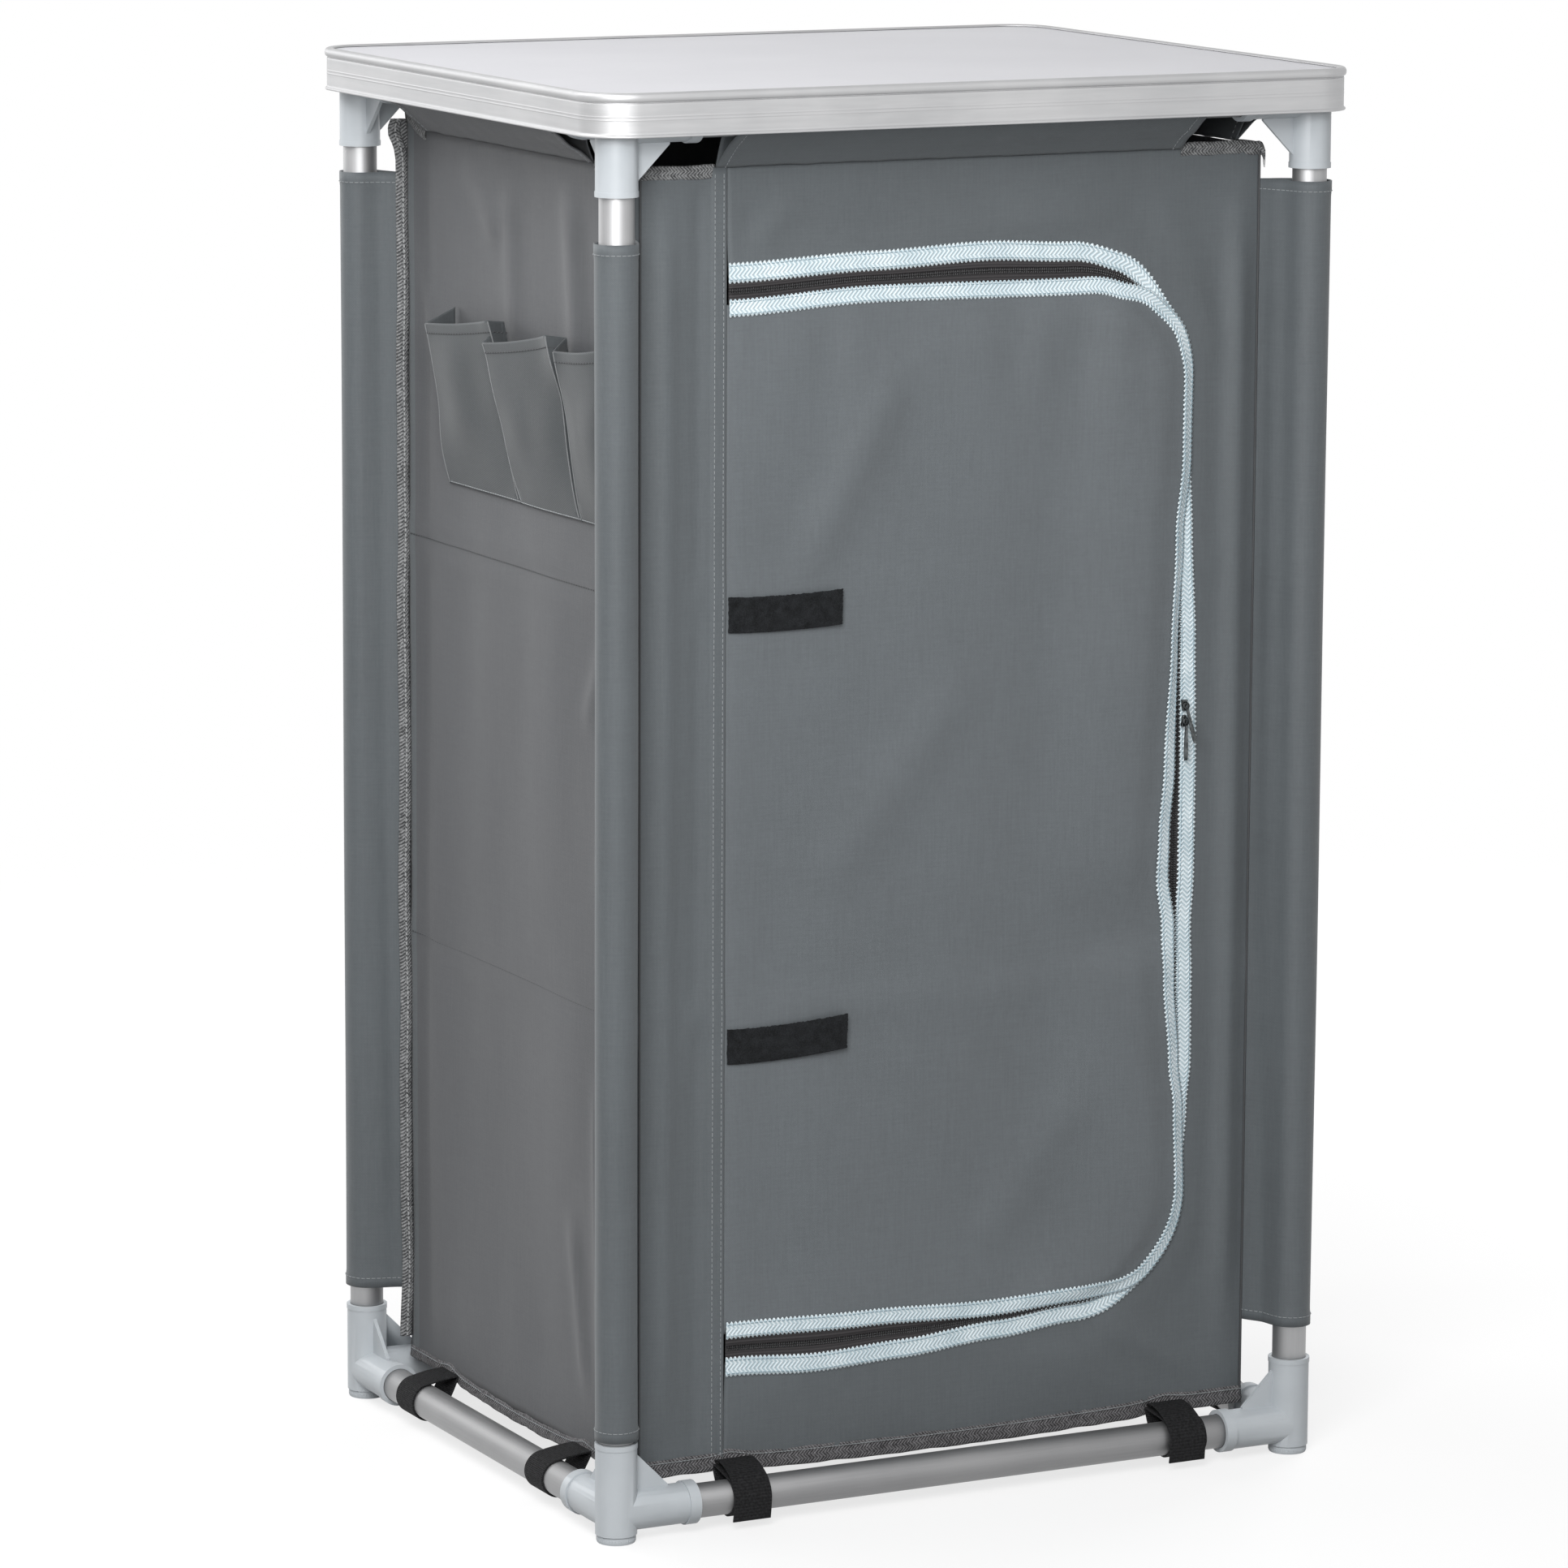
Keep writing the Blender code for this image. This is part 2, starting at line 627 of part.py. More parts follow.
def cabinet(fabric, webbing):
    """Side, back and front panels, floor and shelves."""
    inner_x = CABINET_X - FABRIC - GAP
    inner_y = CABINET_Y - FABRIC - GAP
    side_panel("left_panel", (-1, 0, 0), CABINET_X, 2 * inner_y, TIERS[:2], fabric)
    side_panel("right_panel", (1, 0, 0), CABINET_X, 2 * inner_y, TIERS, fabric)
    side_panel("back_panel", (0, 1, 0), CABINET_Y, 2 * CABINET_X, TIERS, fabric)

    strip_low = (-CABINET_X, FRONT_Y, CABINET_BOTTOM)
    strip_high = (HINGE_X - SEAM_GAP, FRONT_Y + FABRIC, CABINET_TOP)
    block("front_strip", strip_low, strip_high, fabric)

    seam = HINGE_X - SEAM_GAP + GAP
    opening = zip_path(TAPE_SHOWN)
    outline = (
        [(seam, CABINET_TOP), (CABINET_X, CABINET_TOP), (CABINET_X, CABINET_BOTTOM)]
        + [(seam, CABINET_BOTTOM), (seam, opening[-1][1])]
        + opening[::-1]
        + [(seam, opening[0][1])]
    )
    flat_piece("front_frame", [outline], FABRIC, upright(FRONT_Y, FABRIC), fabric)

    for name, low in (
        ("cabinet_floor", CABINET_BOTTOM + FLOOR_LIFT),
        ("lower_shelf", LOWER_SHELF_LEVEL - SHELF_THICKNESS / 2),
        ("upper_shelf", UPPER_SHELF_LEVEL - SHELF_THICKNESS / 2),
    ):
        block(name, (-inner_x, -inner_y, low), (inner_x, inner_y, low + SHELF_THICKNESS), fabric)

    band = zip_path(TAPE_SHOWN + FRAME_TRIM_WIDTH) + zip_path(GAP / 2)[::-1]
    placement = upright(TRIM_Y, TRIM_THICKNESS)
    flat_piece("zip_trim_frame", [band], TRIM_THICKNESS, placement, webbing)


def pocket_row(fabric):
    """Three open pockets that stand off the left panel, in front of the backing they share."""
    bottom = UPPER_SHELF_LEVEL + POCKET_LIFT
    top = bottom + POCKET_HEIGHT
    backing_top = top + POCKET_BACK_RISE
    rise = FABRIC * POCKET_HEIGHT / (POCKET_REACH - POCKET_FOOT)
    edges = [share * CABINET_Y for share in POCKET_EDGE_SHARES]

    def slab(name, outline, high_y, low_y):
        middle = (-CABINET_X - GAP, (low_y + high_y) / 2, 0)
        placement = axes_matrix(middle, (-1, 0, 0), (0, 1, 0))
        return flat_piece(name, [outline], high_y - low_y, placement, fabric)

    outer = [(0.0, backing_top), (0.0, bottom), (POCKET_FOOT, bottom), (POCKET_REACH, top)]
    outer += [(FABRIC, top), (FABRIC, backing_top)]
    inner = [(FABRIC, top + rise), (FABRIC, bottom + rise)]
    inner += [(POCKET_FOOT, bottom + rise), (POCKET_REACH, top + rise)]
    row = slab("pocket_row", outer, edges[0], edges[-1])
    hollows = [
        slab("hollow", inner, high_y - FABRIC / 2, low_y + FABRIC / 2)
        for high_y, low_y in zip(edges, edges[1:])
    ]
    combine(row, hollows, "DIFFERENCE")


# Door
def door(fabric, webbing, hook):
    """The door hangs from the hinge seam; everything on it moves with it."""
    hinge = bpy.data.objects.new("door_hinge", None)
    hinge.location = (HINGE_X, TIE_Y, 0)
    PARTS.objects.link(hinge)

    middle = Vector(((ZIP_X + HINGE_X) / 2, FRONT_Y, (ZIP_TOP + ZIP_BOTTOM) / 2))
    width, height = ZIP_X - HINGE_X, ZIP_TOP - ZIP_BOTTOM
    sheet = hanging_sheet(
        "door_panel", middle, (0, -1, 0), width, height, DOOR_FOLD_DEPTH, DOOR_TIERS, fabric
    )
    depth = 2 * (DOOR_FOLD_DEPTH + FABRIC + OVERRUN)
    edge = zip_path(-TAPE_SHOWN)
    mould = flat_piece("door_shape", [edge], depth, upright(FRONT_Y - depth / 2, depth), fabric)
    panel = combine(sheet, [mould], "INTERSECT")

    band = zip_path(-GAP / 2) + zip_path(-TAPE_SHOWN - DOOR_TRIM_WIDTH)[::-1]
    placement = upright(TRIM_Y, TRIM_THICKNESS)
    trim = flat_piece("zip_trim_door", [band], TRIM_THICKNESS, placement, webbing)

    pieces = [panel, trim]
    for name, level, length in (
        ("tie_upper", UPPER_SHELF_LEVEL - UPPER_TIE_DROP, UPPER_TIE_LENGTH),
        ("tie_lower", LOWER_SHELF_LEVEL - LOWER_TIE_DROP, LOWER_TIE_LENGTH),
    ):
        low = (HINGE_X + SEAM_GAP, TIE_Y, level - TIE_WIDTH / 2)
        high = (HINGE_X + SEAM_GAP + length, TIE_Y + TIE_THICKNESS, level + TIE_WIDTH / 2)
        pieces.append(block(name, low, high, hook, origin=(HINGE_X, TIE_Y, level)))
    for piece in pieces:
        piece.parent = hinge
        piece.matrix_parent_inverse = Matrix.Translation(-hinge.location)


# Zip sliders
def zip_sliders(metal):
    """Two sliders nose to nose on the frame's side of the zip, each with a hinged pull."""
    x = ZIP_X + GAP + SLIDER_WIDTH / 2
    inner = BRIDGE_HEIGHT - BRIDGE_BAR
    root = -SLIDER_DEPTH / 2
    half_span = BRIDGE_SPAN / 2
    arch = [(root, -half_span), (BRIDGE_HEIGHT, -half_span), (BRIDGE_HEIGHT, half_span), (root, half_span)]
    arch += [(root, half_span - BRIDGE_BAR), (inner, half_span - BRIDGE_BAR)]
    arch += [(inner, BRIDGE_BAR - half_span), (root, BRIDGE_BAR - half_span)]
    half_width = PULL_WIDTH / 2
    head = PULL_THICKNESS / 2
    tab = [(half_width, head), (-half_width, head)]
    tab += [(-half_width, -PULL_LENGTH), (half_width, -PULL_LENGTH)]
    eye_half = half_width - PULL_THICKNESS
    eye = [(eye_half, -head), (-eye_half, -head), (-eye_half, -PULL_EYE), (eye_half, -PULL_EYE)]
    for name, drop, lean in (("upper", 0.0, UPPER_PULL_LEAN), ("lower", SLIDER_SPACING, 0.0)):
        z = ZIP_BOTTOM + (ZIP_TOP - ZIP_BOTTOM) * SLIDER_HEIGHT_SHARE - drop
        front = SLIDER_Y - SLIDER_DEPTH
        low = (x - SLIDER_WIDTH / 2, front, z - SLIDER_LENGTH / 2)
        high = (x + SLIDER_WIDTH / 2, SLIDER_Y, z + SLIDER_LENGTH / 2)
        body = block(f"slider_{name}", low, high, metal)
        placement = axes_matrix((x, front, z), (0, -1, 0), (-1, 0, 0))
        bridge = flat_piece("bridge", [arch], BRIDGE_BAR, placement, metal)
        combine(body, [bridge], "UNION")
        pivot = Vector((x, front - PULL_PIVOT, z))
        hang = Matrix.Translation(pivot) @ Matrix.Rotation(-lean, 4, "X")
        flat = hang @ axes_matrix((0, 0, 0), (1, 0, 0), (0, -1, 0))
        flat_piece(f"pull_{name}", [tab, eye], PULL_THICKNESS, flat, metal)


clear_scene()
alloy = finish("satin_aluminium", (0.56, 0.56, 0.58), 0.32, 1.0)
laminate = finish("pale_laminate", (0.66, 0.66, 0.70), 0.45)
grey_plastic = finish("light_grey_plastic", (0.48, 0.51, 0.54), 0.45)
cloth = finish("slate_polyester", (0.110, 0.125, 0.135), 0.75)
blue_webbing = finish("pale_blue_webbing", (0.56, 0.70, 0.76), 0.85)
black_webbing = finish("black_hook_and_loop", (0.012, 0.013, 0.013), 0.9)
dark_metal = finish("dark_zip_metal", (0.05, 0.055, 0.06), 0.35, 0.8)

tabletop(alloy, laminate)
frame(alloy, grey_plastic, grey_plastic)
sleeves(cloth)
top_flaps(cloth)
base_straps(black_webbing)
cabinet(cloth, blue_webbing)
pocket_row(cloth)
door(cloth, blue_webbing, black_webbing)
zip_sliders(dark_metal)
bpy.context.view_layer.update()
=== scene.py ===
"""Looks of a fabric camp kitchen cupboard, in metres, +Z up, with its door facing -Y."""

import bisect
import json
import math

import bmesh
import bpy
from mathutils import Matrix, Vector, noise


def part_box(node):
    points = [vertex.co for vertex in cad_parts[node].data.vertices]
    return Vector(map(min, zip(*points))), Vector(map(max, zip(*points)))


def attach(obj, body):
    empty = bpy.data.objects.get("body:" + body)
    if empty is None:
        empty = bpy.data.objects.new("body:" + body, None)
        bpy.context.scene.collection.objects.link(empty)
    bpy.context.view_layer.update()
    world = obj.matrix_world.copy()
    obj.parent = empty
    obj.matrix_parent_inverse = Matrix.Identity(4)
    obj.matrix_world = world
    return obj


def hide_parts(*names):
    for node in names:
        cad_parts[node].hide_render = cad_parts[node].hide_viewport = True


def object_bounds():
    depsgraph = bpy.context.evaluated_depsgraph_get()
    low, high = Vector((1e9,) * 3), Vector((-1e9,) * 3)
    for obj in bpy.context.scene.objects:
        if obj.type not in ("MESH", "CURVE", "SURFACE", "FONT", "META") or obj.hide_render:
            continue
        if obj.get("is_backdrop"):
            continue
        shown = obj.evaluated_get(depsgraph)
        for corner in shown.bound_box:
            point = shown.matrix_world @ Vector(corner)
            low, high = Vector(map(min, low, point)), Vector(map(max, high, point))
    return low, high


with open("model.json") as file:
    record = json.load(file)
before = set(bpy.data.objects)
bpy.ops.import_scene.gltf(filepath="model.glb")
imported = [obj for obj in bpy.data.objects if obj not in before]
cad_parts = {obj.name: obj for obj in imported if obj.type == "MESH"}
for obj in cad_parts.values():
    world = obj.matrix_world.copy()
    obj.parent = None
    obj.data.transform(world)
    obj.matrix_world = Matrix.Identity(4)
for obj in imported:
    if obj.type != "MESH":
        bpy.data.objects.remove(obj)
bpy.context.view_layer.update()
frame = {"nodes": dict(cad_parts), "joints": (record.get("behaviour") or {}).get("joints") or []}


# Tubes of the frame
# Drawn aluminium tube, satin anodised, cut square and pushed into the corner mouldings.
# Four pieces stand as legs and eight lie as rails.
tube_radius = 0.0125
tube_wall = 0.0012
tube_sides = 56
tube_edge = 0.0003
# The greys of the tubes that lie along X, of those that lie along Y and of those that stand.
# They are one aluminium, and the differences between the three greys are painted shade.
tube_greys_with_painted_shade = (0.26, 0.34, 0.37)


def new_finish(name, colour, roughness, metallic=0.0, specular=0.5, sheen=0.0):
    """A Principled finish, with the values that are the same all over it."""
    finish = bpy.data.materials.new(name)
    finish.use_nodes = True
    shader = finish.node_tree.nodes["Principled BSDF"]
    shader.inputs["Base Color"].default_value = (*colour, 1.0)
    shader.inputs["Roughness"].default_value = roughness
    shader.inputs["Metallic"].default_value = metallic
    shader.inputs["Specular IOR Level"].default_value = specular
    shader.inputs["Sheen Weight"].default_value = sheen
    return finish


def add_node(finish, kind, settings=None, **sockets):
    """A node of a finish: a socket takes a number, a colour or another node's output."""
    node = finish.node_tree.nodes.new(kind)
    for key, value in (settings or {}).items():
        setattr(node, key, value)
    for key, value in sockets.items():
        socket = node.inputs[int(key[1:])] if key[1:].isdigit() else node.inputs[key]
        if isinstance(value, bpy.types.NodeSocket):
            finish.node_tree.links.new(value, socket)
        else:
            socket.default_value = value
    return node


def to_shader(finish, **sockets):
    """Join outputs to the shader's sockets, Colour, Roughness or Normal."""
    shader = finish.node_tree.nodes["Principled BSDF"]
    for key, output in sockets.items():
        socket = shader.inputs["Base Color" if key == "Colour" else key]
        finish.node_tree.links.new(output, socket)


def figure(finish, operation, first, second=0.0):
    """One sum on a finish's own numbers."""
    sockets = {"i0": first, "i1": second}
    return add_node(finish, "ShaderNodeMath", {"operation": operation}, **sockets).outputs[0]


def spread(finish, value, low, high, start=0.0, stop=1.0):
    """A value between start and stop, spread from low to high."""
    sockets = {"Value": value, "From Min": start, "From Max": stop, "To Min": low, "To Max": high}
    return add_node(finish, "ShaderNodeMapRange", **sockets).outputs["Result"]


def blended(finish, *parts):
    """A sum of a finish's own numbers, each given with its share."""
    total = None
    for value, share in parts:
        part = value if share == 1.0 else figure(finish, "MULTIPLY", value, share)
        total = part if total is None else figure(finish, "ADD", total, part)
    return total


def shade(finish, value, dark, light, start=0.0, stop=1.0):
    """A colour that turns from dark to light as a value goes from start to stop."""
    share = spread(finish, value, 0.0, 1.0, start, stop)
    sockets = {"i0": share, "i6": (*dark, 1.0), "i7": (*light, 1.0)}
    return add_node(finish, "ShaderNodeMix", {"data_type": "RGBA"}, **sockets).outputs[2]


def speckle(finish, scale, place=None, stretch=None, detail=2.0, roughness=0.5):
    """Soft noise, on Object coordinates unless a place is given."""
    place = place or add_node(finish, "ShaderNodeTexCoord").outputs["Object"]
    if stretch:
        sockets = {"Vector": place, "Scale": stretch}
        place = add_node(finish, "ShaderNodeMapping", **sockets).outputs["Vector"]
    sockets = {"Vector": place, "Scale": scale, "Detail": detail, "Roughness": roughness}
    return add_node(finish, "ShaderNodeTexNoise", **sockets).outputs["Fac"]


def relief(finish, height, depth, strength=1.0):
    """A bump of a real depth in metres."""
    sockets = {"Height": height, "Distance": depth, "Strength": strength}
    return add_node(finish, "ShaderNodeBump", **sockets).outputs["Normal"]


def satin_aluminium(name, stretch, tone=0.37):
    """Anodised aluminium with fine drawing lines; stretch is small along the lines."""
    finish = new_finish(name, (tone, tone, tone), 0.55, 1.0)
    flat = None if stretch else add_node(finish, "ShaderNodeUVMap", {"uv_map": "flat"}).outputs["UV"]
    lines = speckle(finish, 700.0, flat, stretch or (0.02, 1.0, 1.0), detail=3.0, roughness=0.7)
    clouds = speckle(finish, 14.0, detail=3.0)
    mixed = blended(finish, (lines, 0.45), (clouds, 0.55))
    dark = (tone * 0.86, tone * 0.865, tone * 0.88)
    light = (tone * 1.08, tone * 1.08, tone * 1.09)
    to_shader(
        finish,
        Colour=shade(finish, mixed, dark, light, 0.3, 0.7),
        Roughness=spread(finish, mixed, 0.50, 0.60, 0.3, 0.7),
        Normal=relief(finish, lines, 0.00001),
    )
    return finish


def show(name, bm, finish, body, replaces=(), smooth_angle=40.0):
    """Make a mesh a piece that rides on a body and stands for CAD nodes."""
    mesh = bpy.data.meshes.new(name)
    bm.to_mesh(mesh)
    bm.free()
    mesh.shade_smooth()
    mesh.set_sharp_from_angle(angle=math.radians(smooth_angle))
    mesh.materials.append(finish)
    piece = bpy.data.objects.new(name, mesh)
    bpy.context.scene.collection.objects.link(piece)
    if body:
        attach(piece, body)
    if replaces:
        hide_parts(*replaces)
    return piece


def thicken(piece, thickness, offset=-1.0):
    """Give a sheet or an open wall its thickness, inwards from its face by default."""
    wall = piece.modifiers.new("wall", "SOLIDIFY")
    wall.thickness = thickness
    wall.offset = offset
    return piece


def soften(piece, width, segments=2, angle=35.0):
    """Round a piece's edges."""
    edges = piece.modifiers.new("edges", "BEVEL")
    edges.width = width
    edges.segments = segments
    edges.limit_method = "ANGLE"
    edges.angle_limit = math.radians(angle)
    return piece


def lying_along(start, end):
    """A placement in the middle of a line, its own Z along the line."""
    start, end = Vector(start), Vector(end)
    turn = (end - start).to_track_quat("Z", "Y").to_matrix().to_4x4()
    return Matrix.Translation((start + end) / 2) @ turn


tube_metal = []
for axis, tone in enumerate(tube_greys_with_painted_shade):
    drawn = [0.02 if other == axis else 1.0 for other in range(3)]
    tube_metal.append(satin_aluminium(f"satin_tube_{'xyz'[axis]}", drawn, tone))
for node in [name for name in frame["nodes"] if name.startswith("leg_") or "_rail_" in name]:
    low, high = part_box(node)
    middle = (low + high) / 2
    axis = max(range(3), key=lambda i: high[i] - low[i])
    start, end = middle.copy(), middle.copy()
    start[axis], end[axis] = low[axis], high[axis]
    bm = bmesh.new()
    bmesh.ops.create_cone(
        bm, cap_ends=False, segments=tube_sides, radius1=tube_radius, radius2=tube_radius,
        depth=(end - start).length, matrix=lying_along(start, end),
    )
    tube = show(f"{node}_tube", bm, tube_metal[axis], "frame", [node])
    soften(thicken(tube, tube_wall), tube_edge)


# Corner mouldings
# Three-way sockets injection-moulded in light grey plastic: an upright socket for the leg, two
# arms with collars for the rails, and a gusset under each arm. The same moulding serves all eight.
socket_radius = 0.015
arm_radius = 0.0147
collar_step = 0.0012
moulding_height = 0.0665
arm_level = arm_radius + collar_step
arm_reach = 0.0605
collar_length = 0.0085
leg_depth = 0.034
arm_depth = 0.040
gusset_half = 0.0014
gusset_reach = 0.040
gusset_foot = 0.0012
gusset_drop = 0.0080
gusset_sink = 0.0015
lip_height = 0.0035
lip_step = 0.0004
lip_proud = 0.0002
bore_play = 0.0003
stud_bore_radius = 0.0043
stud_bore_depth = 0.018
moulded_edge = 0.0004


def grey_moulding():
    finish = new_finish("light_grey_moulding", (0.46, 0.49, 0.515), 0.42, specular=0.45)
    clouds = speckle(finish, 30.0, detail=4.0)
    grain = speckle(finish, 1400.0, detail=1.0)
    dark, light = (0.435, 0.465, 0.49), (0.485, 0.515, 0.54)
    to_shader(
        finish,
        Colour=shade(finish, clouds, dark, light, 0.3, 0.7),
        Roughness=spread(finish, clouds, 0.36, 0.5, 0.3, 0.7),
        Normal=relief(finish, grain, 0.00003, 0.6),
    )
    return finish


def rod(bm, radius, start, end, sides=tube_sides):
    bmesh.ops.create_cone(
        bm, cap_ends=True, segments=sides, radius1=radius, radius2=radius,
        depth=(Vector(end) - Vector(start)).length, matrix=lying_along(start, end),
    )


def loose(name, build):
    """A scratch solid for a join or a cut."""
    bm = bmesh.new()
    build(bm)
    mesh = bpy.data.meshes.new(name)
    bm.to_mesh(mesh)
    bm.free()
    piece = bpy.data.objects.new(name, mesh)
    bpy.context.scene.collection.objects.link(piece)
    return piece


def settle(piece):
    """The mesh of a piece with its modifiers carried out."""
    bpy.context.view_layer.update()
    graph = bpy.context.evaluated_depsgraph_get()
    return bpy.data.meshes.new_from_object(piece.evaluated_get(graph))


def joined(base, others, operation):
    """Joins the others to the base, or cuts them out of it."""
    for other in others:
        step = base.modifiers.new(other.name, "BOOLEAN")
        step.operation = operation
        step.object = other
    base.data = settle(base)
    base.modifiers.clear()
    for other in others:
        bpy.data.objects.remove(other)
    return base


def gusset(bm, along):
    """A thin web in the corner between the upright socket and an arm."""
    bmesh.ops.create_cube(bm, size=1.0)
    aside = Vector((along.y, along.x, 0.0))
    foot = arm_level + arm_radius + gusset_foot
    for vert in bm.verts:
        side = gusset_half * (1 if vert.co.y > 0 else -1)
        reach = gusset_reach if vert.co.x > 0 else socket_radius - gusset_sink
        level = arm_level
        if vert.co.z > 0:
            level = foot if vert.co.x > 0 else moulding_height - gusset_drop
        vert.co = along * reach + aside * side + Vector((0, 0, level))
    bmesh.ops.recalc_face_normals(bm, faces=bm.faces)


def corner_moulding():
    """The moulding with its leg socket up Z and its arms along X and Y."""
    base = loose("moulding", lambda bm: rod(bm, socket_radius, (0, 0, 0), (0, 0, moulding_height)))
    lip = (0, 0, moulding_height - lip_height), (0, 0, moulding_height + lip_proud)
    added = [loose("lip", lambda bm: rod(bm, socket_radius + lip_step, *lip))]
    removed = []
    for label, along in (("x", Vector((1, 0, 0))), ("y", Vector((0, 1, 0)))):
        root = Vector((0, 0, arm_level))
        end = root + along * arm_reach
        collar = end - along * collar_length
        bore = end - along * arm_depth
        past = end + along * collar_length
        wide = arm_radius + collar_step
        added.append(loose(f"arm_{label}", lambda bm: rod(bm, arm_radius, root, (collar + end) / 2)))
        added.append(loose(f"collar_{label}", lambda bm: rod(bm, wide, collar, end)))
        added.append(loose(f"gusset_{label}", lambda bm: gusset(bm, along)))
        removed.append(loose(f"bore_{label}", lambda bm: rod(bm, tube_radius + bore_play, bore, past)))
    floor, above = (0, 0, moulding_height - leg_depth), (0, 0, moulding_height + collar_length)
    removed.append(loose("leg_bore", lambda bm: rod(bm, tube_radius + bore_play, floor, above)))
    stud_bore = (0, 0, -collar_length), (0, 0, stud_bore_depth)
    removed.append(loose("stud_bore", lambda bm: rod(bm, stud_bore_radius, *stud_bore, sides=24)))
    solid = joined(joined(base, added, "UNION"), removed, "DIFFERENCE")
    soften(solid, moulded_edge, angle=40.0)
    mesh = settle(solid)
    bpy.data.objects.remove(solid)
    return mesh


moulding_mesh = corner_moulding()
moulding_grey = grey_moulding()
quarter = math.pi / 2
for turns, corner in enumerate(("front_left", "front_right", "back_right", "back_left")):
    for tier, turn in (
        ("lower", Matrix.Rotation(turns * quarter, 4, "Z")),
        ("upper", Matrix.Rotation((turns + 1) * quarter, 4, "Z") @ Matrix.Rotation(math.pi, 4, "X")),
    ):
        low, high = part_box(f"{tier}_corner_{corner}")
        leg_low, leg_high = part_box(f"leg_{corner}")
        seat = (leg_low + leg_high) / 2
        seat.z = low.z if tier == "lower" else high.z
        bm = bmesh.new()
        bm.from_mesh(moulding_mesh)
        bm.transform(Matrix.Translation(seat) @ turn)
        node = f"{tier}_corner_{corner}"
        show(f"{node}_moulding", bm, moulding_grey, "frame", [node])


# Levelling feet
# A ribbed plastic disc with a threaded stud that screws up into the moulding over it.
foot_ribs = 46
foot_radius = 0.0142
foot_height = 0.0055
foot_chamfer = 0.001
rib_depth = 0.0004
edge_drop = 0.00064
thread_pitch = 0.00125
thread_root = 0.0035
thread_crest = 0.0040


def upright_edges(bm):
    return [edge for edge in bm.edges if abs(edge.verts[0].co.z - edge.verts[1].co.z) > 0.0001]


for corner in ("front_left", "front_right", "back_right", "back_left"):
    low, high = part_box(f"foot_{corner}")
    centre = (low + high) / 2
    disc_top = low.z + foot_height
    bm = bmesh.new()
    bmesh.ops.create_cone(
        bm, cap_ends=True, segments=foot_ribs * 2, radius1=foot_radius, radius2=foot_radius,
        depth=foot_height, matrix=Matrix.Translation((0, 0, foot_height / 2)),
    )
    bmesh.ops.subdivide_edges(bm, edges=upright_edges(bm), cuts=3, use_grid_fill=True)
    for vert in bm.verts:
        step = round(math.atan2(vert.co.y, vert.co.x) / math.tau * foot_ribs * 2) % 2
        shrink = 1.0 - step * rib_depth / foot_radius
        if vert.co.z < foot_chamfer or vert.co.z > foot_height - foot_chamfer:
            shrink = 1.0 - edge_drop / foot_radius
        vert.co.x *= shrink
        vert.co.y *= shrink
    turns = int((high.z - disc_top) / thread_pitch)
    for half_turn in range(2 * turns):
        wide, narrow = (thread_crest, thread_root) if half_turn % 2 else (thread_root, thread_crest)
        level = foot_height + thread_pitch * (half_turn + 0.5) / 2
        bmesh.ops.create_cone(
            bm, cap_ends=True, segments=20, radius1=wide, radius2=narrow,
            depth=thread_pitch / 2, matrix=Matrix.Translation((0, 0, level)),
        )
    bm.transform(Matrix.Translation((centre.x, centre.y, low.z)))
    show(f"levelling_foot_{corner}", bm, moulding_grey, f"{corner}_foot", [f"foot_{corner}"])


# Cabinet walls
# Coated polyester cloth in flat panels, sewn together at the corners and to the pole sleeves,
# so that the frame holds them taut. The back and both sides bag a little between their seams.
cloth_thickness = 0.0008
yarn_pitch = 0.0013
shelf_seams = (0.669, 0.366)
shelf_reach = 0.016
groove_depth = 0.0014
groove_width = 0.004
groove_fade = 0.03
wall_slack = 0.0085
wall_margin = 0.06
back_strip_width = 0.017
back_strip_depth = 0.020
crest_fade = 0.03
ear_rise = 0.012
ear_width = 0.036


def flat_measure(finish):
    """The piece's own flat measure: its two lengths, in metres."""
    flat = add_node(finish, "ShaderNodeUVMap", {"uv_map": "flat"}).outputs["UV"]
    parts = add_node(finish, "ShaderNodeSeparateXYZ", Vector=flat)
    return parts.outputs["X"], parts.outputs["Y"]


def waves(finish, length, pitch):
    """A wave along a length, from -1 to 1."""
    return figure(finish, "SINE", figure(finish, "MULTIPLY", length, math.tau / pitch))


def tones_about(colour, share):
    """A darker and a lighter tone of a colour."""
    return [part * (1.0 - share) for part in colour], [part * (1.0 + share) for part in colour]


def coated_cloth(name, tone, warmth, specular=0.42):
    """Close plain weave with a dull coating, faint streaks along the yarns and soft clouds."""
    colour = [tone * part for part in warmth]
    finish = new_finish(name, colour, 0.6, specular=specular, sheen=0.12)
    across, along = flat_measure(finish)
    weave = figure(finish, "MULTIPLY", waves(finish, across, yarn_pitch), waves(finish, along, yarn_pitch))
    streaks = speckle(finish, 900.0, stretch=(1.0, 1.0, 0.04), detail=2.0)
    level = speckle(finish, 900.0, stretch=(0.05, 0.05, 1.0), detail=2.0)
    clouds = speckle(finish, 9.0, detail=5.0, roughness=0.6)
    grain = speckle(finish, 520.0, detail=2.0, roughness=0.7)
    tint = blended(finish, (streaks, 0.24), (level, 0.18), (grain, 0.2), (clouds, 0.3), (weave, 0.08))
    to_shader(
        finish,
        Colour=shade(finish, tint, *tones_about(colour, 0.16), 0.3, 0.6),
        Roughness=spread(finish, clouds, 0.5, 0.66, 0.3, 0.7),
        Normal=relief(finish, blended(finish, (weave, 1.0), (streaks, 1.0)), 0.00009, 0.6),
    )
    return finish


